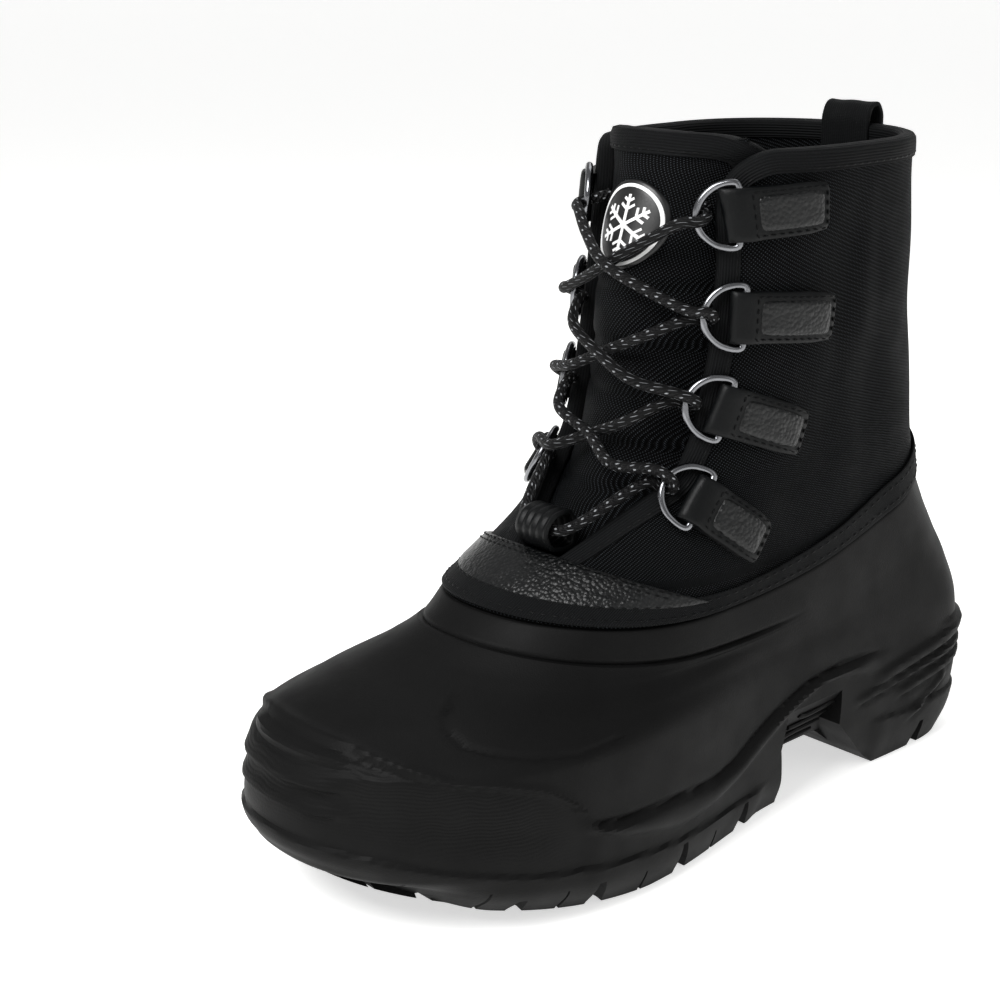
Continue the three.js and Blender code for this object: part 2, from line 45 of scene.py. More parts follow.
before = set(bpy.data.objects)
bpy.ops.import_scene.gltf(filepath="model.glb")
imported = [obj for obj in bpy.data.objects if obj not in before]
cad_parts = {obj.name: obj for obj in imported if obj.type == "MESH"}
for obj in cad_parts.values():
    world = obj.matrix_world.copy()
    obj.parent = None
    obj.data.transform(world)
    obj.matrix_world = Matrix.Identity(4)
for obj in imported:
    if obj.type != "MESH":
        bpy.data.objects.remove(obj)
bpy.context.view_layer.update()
MM = 0.001

# ---------------------------------------------------------------- sizes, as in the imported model
MIDDLE = 153  # place along the foot that stands at the frame's origin
SWING_SHIFT = 2.1
GAP = 0.3
SEAT_GAP = 0.5
SHELL_WALL = 5
SHAFT_WALL = 4.6
SPRING_START = 0.62
SIDES = {"outer": 1, "inner": -1}

COLUMNS = ["back", "front", "zBack", "zFront", "sag", "spring", "heelHalf", "waistHalf",
           "ballHalf", "heelRound", "toeRound", "swing", "heelPower", "toePower"]
SHELL = np.array([
    [1, 298, 0, 0, 0, 17, 47.5, 44.5, 55, 38, 88, 13, 2.9, 2.2],  # tread
    [-4, 308, 14, 14, 0, 13, 51.5, 50, 61, 42, 88, 13, 3, 2.2],
    [-6, 312, 34, 38, 0, 0, 53, 52, 62, 42, 88, 13, 3, 2.2],  # widest
    [-5, 311, 58, 60, 2, 0, 51.8, 52, 61, 42, 88, 12, 2.9, 2.2],
    [0, 290, 77, 70, 6, 0, 50, 51, 55, 42, 84, 11, 2.6, 2.2],  # top of the toe box
    [7, 259, 92, 79, 11, 0, 49, 51, 50.5, 42, 78, 8, 2.4, 2.2],
    [13, 241, 107, 87, 19.5, 0, 48.8, 51, 50, 42, 72, 5, 2.2, 2.2],  # ridge line
    [19, 231, 121, 94.5, 15, 0, 48.5, 50.5, 49.5, 44, 68, 4, 2.1, 2.2],  # rim
])
RIDGE = 6
RIM = 7
SHAFT = np.array([
    [19, 231, 121, 94.5, 15, 0, 48.5, 50.5, 49.5, 44, 68, 4, 2.1, 2.2],  # on the shell's rim
    [22, 194, 141, 117, 11, 0, 47.8, 49.5, 48, 45, 64, 2, 2.1, 2.2],  # instep
    [24, 172, 168, 145, 5, 0, 46.5, 48, 46.5, 48, 62, 0, 2.1, 2.2],  # ankle
    [28, 164, 200, 192, 0, 0, 47.5, 48.5, 47.5, 50, 64, 0, 2.1, 2.1],
    [33, 154, 246, 245, 0, 0, 49.4, 49.4, 49.4, 50, 58, 0, 2.1, 2.2],  # collar
])
COLLAR = 4
FOOTBED = np.array([[15, 288, 27, 25, 3, 3, 36, 36, 46, 32, 78, 12, 2.3, 2.2]])

# Half width of the throat at each height.
THROAT_Z = [104, 106, 120, 134, 150, 180, 209, 230, 238, 242, 245, 247, 260]
THROAT_HALF = [0, 9, 18, 29, 31, 32, 31, 28.5, 31, 34.5, 39, 43, 50]

# Height, front, half width and thickness of the tongue.
TONGUE = np.array([
    [104, 188, 17, 6], [116, 186, 22, 8], [132, 178, 32, 9], [150, 171, 36, 9], [172, 168, 37, 9],
    [200, 168, 38, 9], [220, 163, 38, 9], [238, 157, 37, 8], [250, 153, 34, 7],
], float)
TONGUE_CLEAR = 1.2

# Fold and far end of each ring tab, top row first: (along, up).
ROWS = [((145.5, 224.5), (113, 227)), ((145.5, 190), (107, 187)),
        ((152, 158.5), (119.5, 146)), ((164, 128), (141.5, 109.5))]
TAB_HALF = 9
TAB_FOLD = 6.4
RING_HALF = 10.5
RING_REACH = 14
BAR_SETBACK = 3.2
LACE_CLEAR = 4.2
LACE_BEND = 3.7
CROSS_SPREAD = 1.7
STRAND_BOWS = [4.5, 6.5, 9]
KEEPER = (199, 115)


# ---------------------------------------------------------------- the boot's sections
def glide(rows, level):
    """Rows of a table read between whole levels, by a monotone cubic."""
    level = np.atleast_1d(np.asarray(level, float))
    if len(rows) == 1:
        return np.repeat(rows, len(level), axis=0)
    last = len(rows) - 1
    i = np.clip(np.floor(level).astype(int), 0, last - 1)
    step = np.diff(rows, axis=0)
    slope = np.zeros(rows.shape)
    slope[0], slope[-1] = step[0], step[-1]
    a, b = step[:-1], step[1:]
    total = np.where(np.abs(a + b) < 1e-9, 1, a + b)
    slope[1:-1] = np.where(a * b > 0, 2 * a * b / total, 0)
    t = (level - i)[:, None]
    t2, t3 = t ** 2, t ** 3
    return ((2 * t3 - 3 * t2 + 1) * rows[i] + (t3 - 2 * t2 + t) * slope[i]
            + (3 * t2 - 2 * t3) * rows[i + 1] + (t3 - t2) * slope[i + 1])


def section(rows, level, wall=0):
    """Named values of the section at a level, or at many, inside a wall of this thickness."""
    s = dict(zip(COLUMNS, glide(np.asarray(rows, float), level).T))
    s["back"] = s["back"] + wall
    s["front"] = s["front"] - wall
    for name in ("heelHalf", "waistHalf", "ballHalf", "heelRound", "toeRound"):
        s[name] = s[name] - wall
    return s


def ease(t):
    t = np.clip(t, 0, 1)
    return t * t * (3 - 2 * t)


def round_end(distance, power):
    return (1 - np.clip(distance, 0, 1) ** power) ** (1 / power)


def across_at(s, along):
    """Centre line, half width and height of a section at places along the foot."""
    heel_end = s["back"] + s["heelRound"]
    toe_start = s["front"] - s["toeRound"]
    middle = (toe_start - heel_end) * 0.45
    rear = s["heelHalf"] + (s["waistHalf"] - s["heelHalf"]) * ease((along - heel_end) / middle)
    fore_share = (along - heel_end - middle) / (toe_start - heel_end - middle)
    fore = s["waistHalf"] + (s["ballHalf"] - s["waistHalf"]) * ease(fore_share)
    half = np.where(along < heel_end + middle, rear, fore)
    half = half * round_end((heel_end - along) / s["heelRound"], s["heelPower"])
    half = half * round_end((along - toe_start) / s["toeRound"], s["toePower"])
    t = (along - s["back"]) / (s["front"] - s["back"])
    centre = -s["swing"] * np.clip((t - 0.55) / 0.45, 0, None) ** 2
    spring = s["spring"] * np.clip((t - SPRING_START) / (1 - SPRING_START), 0, None) ** 1.8
    up = s["zBack"] + (s["zFront"] - s["zBack"]) * t - s["sag"] * 4 * t * (1 - t) + spring
    return centre, half, up


def place(across, along, up):
    """Points in millimetres in the frame's own axes."""
    across, along, up = np.broadcast_arrays(across, along, up)
    return np.stack([across + SWING_SHIFT, MIDDLE - along, up], -1).astype(float)


HEEL_SHARE, TOE_SHARE = 0.3, 0.62


def along_of(s, share):
    """Place along the foot for a share of a side, 0 at the heel and 1 at the toe's tip."""
    heel = 1 - np.cos(np.pi / 2 * np.clip(share / HEEL_SHARE, 0, 1)) ** (2 / s["heelPower"])
    toe = np.sin(np.pi / 2 * np.clip((share - TOE_SHARE) / (1 - TOE_SHARE), 0, 1)) ** (2 / s["toePower"])
    straight = np.clip((share - HEEL_SHARE) / (TOE_SHARE - HEEL_SHARE), 0, 1)
    run = s["front"] - s["toeRound"] - s["back"] - s["heelRound"]
    return s["back"] + s["heelRound"] * heel + run * straight + s["toeRound"] * toe


def ring(s, turns, shrink=1.0):
    """Points at turns round a section: 0 heel, 0.5 toe, inner side first."""
    share = 1 - np.abs(1 - 2 * turns)
    side = np.where(turns <= 0.5, -1, 1)
    along = along_of(s, share)
    centre, half, up = across_at(s, along)
    return place(centre + side * half * shrink, along, up)


def level_at(rows, along, up):
    """The level whose section has this height at this place along the foot."""
    low, high = np.zeros(np.shape(along)), np.full(np.shape(along), len(rows) - 1.0)
    for _ in range(24):
        middle = (low + high) / 2
        below = across_at(section(rows, middle), along)[2] < up
        low, high = np.where(below, middle, low), np.where(below, high, middle)
    return (low + high) / 2


def on_shaft(side, along, up):
    along, up = np.atleast_1d(along).astype(float), np.atleast_1d(up).astype(float)
    centre, half, _ = across_at(section(SHAFT, level_at(SHAFT, along, up)), along)
    return place(centre + side * half, along, up + SEAT_GAP)


def shaft_front_inside(across, up):
    """Place along the foot where the inside of the shaft's front is, at a height."""
    across, up = np.broadcast_arrays(np.asarray(across, float), np.asarray(up, float))
    along = np.full(across.shape, 150.0)
    for _ in range(25):
        near = np.minimum(along, 226)
        s = section(SHAFT, level_at(SHAFT, near.ravel(), up.ravel()), 5)
        s = {name: value.reshape(across.shape) for name, value in s.items()}
        off = np.minimum(np.abs(across) / s["ballHalf"], 1)
        along = (along + s["front"] - s["toeRound"] + s["toeRound"] * round_end(off, s["toePower"])) / 2
    return along


class FrontInside:
    """The inside of the shaft's front, read once at a grid of places and then between them."""
    across = np.arange(-42, 42.5, 2.0)
    up = np.arange(102, 246, 2.0)
    table = None

    @classmethod
    def read(cls, across, up):
        if cls.table is None:
            cls.table = shaft_front_inside(cls.across[None], cls.up[:, None])
        x = np.clip((across - cls.across[0]) / 2, 0, len(cls.across) - 1.001)
        y = np.clip((up - cls.up[0]) / 2, 0, len(cls.up) - 1.001)
        i, j = x.astype(int), y.astype(int)
        x, y = x - i, y - j
        t = cls.table
        return ((t[j, i] * (1 - x) + t[j, i + 1] * x) * (1 - y)
                + (t[j + 1, i] * (1 - x) + t[j + 1, i + 1] * x) * y)


def size(name):
    """One of the panel's sizes, in millimetres."""
    return round(getattr(bpy.context.scene.boot_sizes, name) / MM, 4)


def unit(v):
    return v / np.maximum(np.linalg.norm(v, axis=-1, keepdims=True), 1e-12)


def lengths_along(points, axis):
    steps = np.linalg.norm(np.diff(points, axis=axis), axis=-1)
    return np.concatenate([np.zeros_like(np.take(steps, [0], axis)), np.cumsum(steps, axis)], axis)


def even_steps(points, step):
    """A polyline with its points this far apart."""
    run = lengths_along(points, 0)
    places = np.linspace(0, run[-1], max(int(round(run[-1] / step)), 2) + 1)
    return np.stack([np.interp(places, run, points[:, k]) for k in range(3)], -1)


def smooth_curve(points, per_span=12, closed=False):
    """Centripetal curve through the points."""
    points = [np.asarray(p, float) for p in points]
    if closed:
        points = [points[-1]] + points + points[:2]
    else:
        points = [2 * points[0] - points[1]] + points + [2 * points[-1] - points[-2]]
    out = []
    for a, b, c, d in zip(points, points[1:], points[2:], points[3:]):
        k = [0]
        for p, q in ((a, b), (b, c), (c, d)):
            k.append(k[-1] + max(np.linalg.norm(q - p), 1e-6) ** 0.5)
        t = np.linspace(k[1], k[2], per_span, endpoint=False)[:, None]
        ab = a + (b - a) * (t - k[0]) / (k[1] - k[0])
        bc = b + (c - b) * (t - k[1]) / (k[2] - k[1])
        cd = c + (d - c) * (t - k[2]) / (k[3] - k[2])
        abc = ab + (bc - ab) * (t - k[0]) / (k[2] - k[0])
        bcd = bc + (cd - bc) * (t - k[1]) / (k[3] - k[1])
        out.append(abc + (bcd - abc) * (t - k[1]) / (k[2] - k[1]))
    if not closed:
        out.append(points[-2][None])
    return np.concatenate(out)


class Skin:
    """A surface that overlays are laid on."""

    def __init__(self, points, wrap=False):
        rows, cols = points.shape[:2]
        du, dv = np.gradient(points, axis=1), np.gradient(points, axis=0)
        if wrap:
            du[:, 0] = du[:, -1] = points[:, 1] - points[:, -2]
        self.normals = unit(np.cross(du, dv)).reshape(-1, 3)
        self.points = points.reshape(-1, 3)
        at = np.arange(rows * cols).reshape(rows, cols)
        self.quads = np.stack([at[:-1, :-1], at[:-1, 1:], at[1:, 1:], at[1:, :-1]], -1).reshape(-1, 4)
        self.tree = BVHTree.FromPolygons(self.points.tolist(), self.quads.tolist())

    def hug(self, points, lift=0.0):
        """The nearest points of the surface, lifted off it, and the normals there."""
        shape = np.shape(points)
        lift = np.broadcast_to(np.asarray(lift, float), shape[:-1]).reshape(-1)
        placed, normals = [], []
        for p, up in zip(np.reshape(points, (-1, 3)), lift):
            spot, _, face, _ = self.tree.find_nearest(Vector(p))
            corners = self.quads[face]
            weight = 1 / (np.linalg.norm(self.points[corners] - np.array(spot), axis=1) + 0.05)
            normal = unit(weight @ self.normals[corners])
            placed.append(np.array(spot) + normal * up)
            normals.append(normal)
        return np.reshape(placed, shape), np.reshape(normals, shape)


# ---------------------------------------------------------------- modelling
def start_clean():
    if bpy.context.object and bpy.context.object.mode != "OBJECT":
        bpy.ops.object.mode_set(mode="OBJECT")
    bpy.ops.object.select_all(action="DESELECT")


def pick(obj):
    start_clean()
    obj.select_set(True)
    bpy.context.view_layer.objects.active = obj


def coordinates(obj):
    flat = np.empty(len(obj.data.vertices) * 3)
    obj.data.vertices.foreach_get("co", flat)
    return flat.reshape(-1, 3)


def set_coordinates(obj, points):
    obj.data.vertices.foreach_set("co", np.ascontiguousarray(points, float).ravel())
    obj.data.update()


def laid_grid(name, points, merge=0.0):
    """A flat grid laid onto rows of points, in millimetres. Its UV map is in metres of material."""
    rows, cols = points.shape[:2]
    start_clean()
    bpy.ops.mesh.primitive_grid_add(x_subdivisions=cols - 1, y_subdivisions=rows - 1, size=1)
    obj = bpy.context.object
    obj.name = obj.data.name = name
    flat = coordinates(obj)
    order = np.lexsort((np.round(flat[:, 0], 6), np.round(flat[:, 1], 6)))
    placed = np.empty((rows * cols, 3))
    placed[order] = points.reshape(-1, 3) * MM
    set_coordinates(obj, placed)
    across = lengths_along(points, 1)
    across = across - across[:, [cols // 2]]
    spread = np.empty((rows * cols, 2))
    spread[order] = np.stack([across, lengths_along(points, 0)], -1).reshape(-1, 2) * MM
    corner = np.empty(len(obj.data.loops), int)
    obj.data.loops.foreach_get("vertex_index", corner)
    obj.data.uv_layers.active.data.foreach_set("uv", spread[corner].ravel())
    if merge:
        edit(obj, (bpy.ops.mesh.remove_doubles, {"threshold": merge * MM}),
             (bpy.ops.mesh.dissolve_degenerate, {"threshold": merge * MM / 4}))
    return obj


def edit(obj, *steps):
    """Runs edit-mode operators on the whole mesh."""
    pick(obj)
    bpy.ops.object.mode_set(mode="EDIT")
    bpy.ops.mesh.select_all(action="SELECT")
    for operator, settings in steps:
        operator(**settings)
    bpy.ops.object.mode_set(mode="OBJECT")


def modify(obj, kind, **settings):
    """Adds a modifier, sets it and applies it."""
    pick(obj)
    modifier = obj.modifiers.new(kind.title(), kind)
    for name, value in settings.items():
        setattr(modifier, name, value)
    bpy.ops.object.modifier_apply(modifier=modifier.name)


def outwards(obj):
    edit(obj, (bpy.ops.mesh.normals_make_consistent, {"inside": False}))


def joined(name, parts):
    start_clean()
    for part in parts:
        part.select_set(True)
    bpy.context.view_layer.objects.active = parts[0]
    if len(parts) > 1:
        bpy.ops.object.join()
    parts[0].name = parts[0].data.name = name
    return parts[0]


def finished(obj, *materials, slot, replaces=(), angle=35):
    """Shades a piece, gives it its materials and puts it on the boot."""
    pick(obj)
    bpy.ops.object.shade_smooth_by_angle(angle=math.radians(angle))
    faces = np.zeros(len(obj.data.polygons), int)
    obj.data.polygons.foreach_get("material_index", faces)
    obj.data.materials.clear()
    for material in materials:
        obj.data.materials.append(material)
    obj.data.polygons.foreach_set("material_index", np.minimum(faces, len(materials) - 1))
    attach(obj, "root")
    if replaces:
        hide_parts(*replaces)
    return obj


def sheet(name, points, thick, merge=0.0, inner=0):
    """A sheet whose outer face is laid on the points, thickened inwards."""
    obj = laid_grid(name, points, merge)
    modify(obj, "SOLIDIFY", thickness=thick * MM, offset=-1, material_offset=inner,
           material_offset_rim=inner)
    return obj


def swept(path, normals, diameter, sides=12, closed=False):
    """A round bar along a path. Its section turns with the normals."""
    tangent = unit(np.gradient(path, axis=0))
    if closed:
        tangent[0] = tangent[-1] = unit(path[1] - path[-2])
    out = unit(normals - tangent * np.sum(normals * tangent, -1, keepdims=True))
    side = np.cross(tangent, out)
    turn = np.linspace(0, 2 * np.pi, sides + 1)
    circle = (np.cos(turn)[None, :, None] * out[:, None] + np.sin(turn)[None, :, None] * side[:, None])
    points = path[:, None] + circle * diameter / 2
    return points


def carried_normals(path):
    """Normals carried along a path without twist."""
    tangent = unit(np.gradient(path, axis=0))
    normal = unit(np.cross(tangent[0], [0.3, 0.2, 1]))
    out = []
    for t in tangent:
        normal = unit(normal - t * (normal @ t))
        out.append(normal)
    return np.array(out)


def stitches(name, runs, long=2.9, gap=1.3, wide=0.75, thick=0.5):
    """Thread showing as short rounded stitches along runs of (points, normals)."""
    start_clean()
    bpy.ops.mesh.primitive_uv_sphere_add(segments=8, ring_count=6, radius=0.5)
    obj = bpy.context.object
    shape = coordinates(obj)
    faces = [list(face.vertices) for face in obj.data.polygons]
    bulge = (1 - np.abs(2 * shape[:, [0]]) ** 2.6)
    shape = shape * np.concatenate([np.ones_like(bulge), 0.6 + 0.4 * bulge,
                                                0.6 + 0.4 * bulge], 1)
    all_points, all_faces = [], []
    for points, normals in runs:
        run = lengths_along(points, 0)
        count = max(int(run[-1] / (long + gap)), 1)
        starts = (np.arange(count) + 0.5) * run[-1] / count
        read = lambda values, at: np.stack([np.interp(at, run, values[:, k]) for k in range(3)], -1)
        ahead = unit(read(points, starts + long / 2) - read(points, starts - long / 2))
        middle, normal = read(points, starts), unit(read(normals, starts))
        side = unit(np.cross(normal, ahead))
        for m, a, s, n in zip(middle, ahead, side, normal):
            all_faces += [[i + len(all_points) * len(shape) for i in face] for face in faces]
            all_points.append(m + shape[:, [0]] * a * long + shape[:, [1]] * s * wide
                              + shape[:, [2]] * n * thick)
    mesh = bpy.data.meshes.new(name)
    mesh.from_pydata((np.concatenate(all_points) * MM).tolist(), [], all_faces)
    old = obj.data
    obj.data = mesh
    bpy.data.meshes.remove(old)
    obj.name = name
    return obj


# ---------------------------------------------------------------- materials
def linear(hex_colour):
    """A hex sRGB colour as linear RGBA."""
    parts = [int(hex_colour[i:i + 2], 16) / 255 for i in (1, 3, 5)]
    return tuple(c / 12.92 if c <= 0.04045 else ((c + 0.055) / 1.055) ** 2.4 for c in parts) + (1.0,)


def node(tree, kind, inputs=None, **settings):
    """Adds a node with its settings. An input is a value or a socket to link from."""
    made = tree.nodes.new(kind)
    for name, value in settings.items():
        setattr(made, name, value)
    for name, value in (inputs or {}).items():
        if isinstance(value, bpy.types.NodeSocket):
            tree.links.new(value, made.inputs[name])
        else:
            made.inputs[name].default_value = value
    return made


def material(name, colour, light, roughness, pattern, bump_mm, **sockets):
    """A material whose height pattern gives bump, and tints the colour from its base to its light.

    pattern(tree) returns the height socket, and may return a second one that mixes in the light tint.
    """
    made = bpy.data.materials.new(name)
    made.use_nodes = True
    tree = made.node_tree
    tree.nodes.clear()
    result = pattern(tree)
    height, tint = result if isinstance(result, tuple) else (result, result)
    mix = node(tree, "ShaderNodeMix", {"Factor": tint, "A": colour, "B": light}, data_type="RGBA")
    bump = node(tree, "ShaderNodeBump", {"Height": height, "Distance": bump_mm * MM, "Strength": 1.0})
    worn = node(tree, "ShaderNodeTexNoise", {
        "Vector": node(tree, "ShaderNodeTexCoord").outputs["Object"], "Scale": 60.0, "Detail": 4.0})
    rough = node(tree, "ShaderNodeMapRange", {
        "Value": worn.outputs["Fac"], "From Min": 0.3, "From Max": 0.7,
        "To Min": roughness[0], "To Max": roughness[1]})
    shader = node(tree, "ShaderNodeBsdfPrincipled", {
        "Base Color": colour if tuple(colour) == tuple(light) else mix.outputs[2],
        "Roughness": rough.outputs["Result"], "Normal": bump.outputs["Normal"], **sockets})
    node(tree, "ShaderNodeOutputMaterial", {"Surface": shader.outputs["BSDF"]})
    return made


def maths(tree, operation, a, b=0.0):
    return node(tree, "ShaderNodeMath", {0: a, 1: b}, operation=operation).outputs[0]


def cloth_axes(tree):
    """The two directions of the cloth, in millimetres, from the UV map."""
    uv = node(tree, "ShaderNodeTexCoord").outputs["UV"]
    parts = node(tree, "ShaderNodeSeparateXYZ", {"Vector": uv})
    return [maths(tree, "MULTIPLY", parts.outputs[k], 1 / MM) for k in ("X", "Y")]


def wave(tree, run, pitch):
    """0 to 1 and back, once every pitch millimetres."""
    sine = maths(tree, "SINE", maths(tree, "MULTIPLY", run, 2 * math.pi / pitch))
    return maths(tree, "ADD", maths(tree, "MULTIPLY", sine, 0.5), 0.5)


def noise(tree, grain_mm, detail=3.0, source="Object"):
    where = node(tree, "ShaderNodeTexCoord").outputs[source]
    return node(tree, "ShaderNodeTexNoise", {
        "Vector": where, "Scale": 1 / (grain_mm * MM), "Detail": detail}).outputs["Fac"]



def plain_weave(tree):
    across, along = cloth_axes(tree)
    a = maths(tree, "SINE", maths(tree, "MULTIPLY", across, 2 * math.pi / size("thread")))
    b = maths(tree, "SINE", maths(tree, "MULTIPLY", along, 2 * math.pi / size("thread")))
    over = maths(tree, "ADD", maths(tree, "MULTIPLY", maths(tree, "MULTIPLY", a, b), 0.5), 0.5)
    uneven = maths(tree, "MULTIPLY", noise(tree, 0.5), 0.3)
    height = maths(tree, "ADD", over, uneven)
    # Painted highlight: sharp bright glints on the thread tops, mixed into the colour.
    painted_glint = maths(tree, "POWER", maths(tree, "MAXIMUM", over, 0.0), 9.0)
    return height, painted_glint


def foam_grain(tree):
    fine = noise(tree, 0.55, 2.0)
    hatch = node(tree, "ShaderNodeAttribute", attribute_name="hatch").outputs["Fac"]
    where = node(tree, "ShaderNodeTexCoord").outputs["Object"]
    up = node(tree, "ShaderNodeSeparateXYZ", {"Vector": where}).outputs["Z"]
    wobble = maths(tree, "MULTIPLY", noise(tree, 14.0, 1.0), 5.0)
    lines = wave(tree, maths(tree, "ADD", maths(tree, "MULTIPLY", up, 1 / MM), wobble), 1.3)
    height = maths(tree, "ADD", fine, maths(tree, "MULTIPLY", maths(tree, "MULTIPLY", lines, hatch), 0.7))
    return height, noise(tree, 18.0, 4.0)


def pebbles(tree):
    where = node(tree, "ShaderNodeTexCoord").outputs["Object"]
    cells = node(tree, "ShaderNodeTexVoronoi", {"Vector": where, "Scale": 1 / (1.5 * MM),
                                                "Randomness": 1.0}, feature="F1")
    crease = maths(tree, "SUBTRACT", 1.0, cells.outputs["Distance"])
    wrinkle = maths(tree, "MULTIPLY", noise(tree, 5.0, 5.0), 1.4)
    return maths(tree, "ADD", crease, wrinkle), noise(tree, 4.0, 4.0)


def smooth_hide(tree):
    return maths(tree, "ADD", noise(tree, 6.0, 5.0), maths(tree, "MULTIPLY", noise(tree, 0.6), 0.25))


def ribs(tree):
    across, along = cloth_axes(tree)
    rib = wave(tree, across, 1.0)
    cross = maths(tree, "MULTIPLY", wave(tree, along, 0.55), 0.35)
    fuzz = maths(tree, "MULTIPLY", noise(tree, 0.6), 0.4)
    # The rib height also drives the colour: the rib tops get a painted highlight.
    return maths(tree, "ADD", maths(tree, "ADD", rib, cross), fuzz)


def pile(tree):
    # The pile height also drives the colour: the higher tips get a painted highlight.
    return maths(tree, "ADD", noise(tree, 2.2, 4.0), maths(tree, "MULTIPLY", noise(tree, 0.5), 0.6))


STRAND = 2.1  # mm between the lace's crossing strands
FLECK = 5.2  # mm from one pair of flecks to the next


def braid(tree):
    """Strands that cross round the lace, with pairs of light flecks."""
    around, along = cloth_axes(tree)
    girth = math.pi * size("lace")
    a, b = (maths(tree, "SINE", maths(tree, "MULTIPLY", maths(tree, way, along, around),
                                      2 * math.pi / STRAND)) for way in ("ADD", "SUBTRACT"))
    height = maths(tree, "MAXIMUM", a, b)
    turn = maths(tree, "COSINE", maths(tree, "MULTIPLY", around, 2 * math.pi * 4 / girth))
    beat = maths(tree, "COSINE", maths(tree, "MULTIPLY", along, 2 * math.pi / FLECK))
    both = maths(tree, "MULTIPLY", turn, beat)
    fleck = node(tree, "ShaderNodeMapRange", {"Value": both, "From Min": 0.72, "From Max": 0.86}).outputs[0]
    return height, fleck


def thread_twist(tree):
    return noise(tree, 0.5, 2.0)


def polish(tree):
    return noise(tree, 1.5, 3.0)


def flat_print(tree):
    return noise(tree, 0.8, 2.0)


def make_materials():
    c = bpy.context.scene.boot_colours
    made = {
        # Moulded EVA foam: matt, fine grain, a soft grey sheen on its turns.
        "foam": material("Foam EVA moulded", c.foam, c.foam_light, (0.5, 0.62), foam_grain, 0.10,
                         **{"IOR": 1.48, "Specular IOR Level": 0.09}),
        # Ballistic nylon, plain woven: dull black, with painted highlights (light glints) on the thread
        # tops.
        "nylon": material("Nylon woven coarse", c.nylon, c.nylon_painted_glint, (0.55, 0.7), plain_weave, 0.45,
                          **{"Specular IOR Level": 0.05}),
        # Coated synthetic leather, pebbled: shiny with a soft crease pattern.
        "pebbled": material("Synthetic leather pebbled", c.leather, c.leather_light, (0.30, 0.42),
                            pebbles, 0.42, **{"Specular IOR Level": 0.25, "Coat Weight": 0.16,
                               "Coat Roughness": 0.16}),
        # The same coating, left smooth and folded: fewer creases, a little duller.
        "hide": material("Synthetic leather smooth", c.leather, c.leather_light, (0.38, 0.5),
                         smooth_hide, 0.25, **{"Specular IOR Level": 0.15}),
        # Grosgrain polyester tape: ribs across its length, with a painted highlight that lightens the rib
        # tops.
        "tape": material("Polyester tape ribbed", c.tape, c.tape_painted_highlight, (0.6, 0.75), ribs, 0.22,
                         **{"Specular IOR Level": 0.08}),
        # Short polyester pile, with a painted highlight on its higher tips.
        "pile": material("Polyester pile", c.pile, c.pile_painted_highlight, (0.85, 0.95), pile, 0.9,
                         **{"Specular IOR Level": 0.1}),
        # Bonded sewing thread.
        "thread": material("Thread bonded", c.thread, c.thread_light, (0.4, 0.55), thread_twist, 0.05,
                           **{"Specular IOR Level": 0.1}),
        # Braided polyester lace with reflective flecks.
        "lace": material("Lace braided", c.lace, c.lace_fleck, (0.5, 0.65), braid, 0.28,
                         **{"Specular IOR Level": 0.2}),
        # Nickel-plated steel wire, polished.
        "nickel": material("Nickel plated", c.nickel, c.nickel_light, (0.14, 0.24), polish, 0.01,
                           **{"Metallic": 1.0}),
        # Soft PVC badge and its light print.
        "badge": material("PVC soft moulded", c.badge, c.badge, (0.35, 0.45), flat_print, 0.03),
        "print": material("Print light", c.print_light, c.print_light, (0.5, 0.6), flat_print, 0.02),
    }
    return made


MATERIALS = {}


# ---------------------------------------------------------------- surfaces shared by several pieces
def shaft_ring(level, count=241, wall=0.0):
    points = ring(section(SHAFT, level, wall), np.linspace(0, 1, count))
    points[:, 2] += SEAT_GAP
    return points


def shaft_skin():
    return Skin(np.array([shaft_ring(v) for v in np.linspace(0, COLLAR, 90)]), wrap=True)


def climb(turns, height):
    """Points on the shaft this many millimetres up from the rim, at turns round it."""
    levels = np.linspace(0, 1.6, 33)
    turns, height = np.broadcast_arrays(turns, height)
    columns = []
    for level in levels:
        points = ring(section(SHAFT, level), turns.ravel())
        points[:, 2] += SEAT_GAP
        columns.append(points)
    columns = np.array(columns)
    run = lengths_along(columns, 0)
    flat = height.ravel()
    out = np.empty((len(flat), 3))
    for i in range(len(flat)):
        for k in range(3):
            out[i, k] = np.interp(flat[i], run[:, i], columns[:, i, k])
    return out.reshape(turns.shape + (3,))


def tongue_half(up):
    top = np.clip((up - 240) / 11, 0, 1)
    level = np.interp(up, TONGUE[:, 0], np.arange(len(TONGUE)))
    return glide(TONGUE, level)[:, 2] * (1 - 0.16 * top ** 2.5)


# Height, bow and depth of each fold across the tongue.
FOLDS = [(127, 5, 1.4), (143, -4, 2.0), (160, 3, 1.5), (178, -3, 1.9), (197, 4, 1.2), (213, -2, 0.6)]


def tongue_section(up, shares, puff=True):
    """Front and depth of the tongue at heights, at shares of its half width from -1 to 1."""
    up, shares = np.broadcast_arrays(np.asarray(up, float), np.asarray(shares, float))
    level = np.interp(up.ravel(), TONGUE[:, 0], np.arange(len(TONGUE)))
    columns = glide(TONGUE, level)
    _, front, _, thick = (columns[:, k].reshape(up.shape) for k in range(4))
    half = tongue_half(up.ravel()).reshape(up.shape)
    across = shares * half
    wall = np.minimum(up, 243)
    inside = FrontInside.read(across, wall)
    bulge = front - FrontInside.read(np.zeros(up.shape), wall) + TONGUE_CLEAR
    reach = np.where(bulge > 0, np.interp(up, THROAT_Z, THROAT_HALF) - 4, 1.5 * half)
    along = inside - TONGUE_CLEAR + bulge * np.clip(1 - (across / reach) ** 2, 0, None)
    if puff:
        for crease, bow, deep in FOLDS:
            away = up - crease - bow * (across / 30) ** 2
            along = along - deep * np.exp(-(away / 2.6) ** 2) * np.clip(1.2 - (across / 34) ** 2, 0, 1)
    return across, along, thick * (0.4 + 0.6 * round_end(np.abs(shares), 2.5))


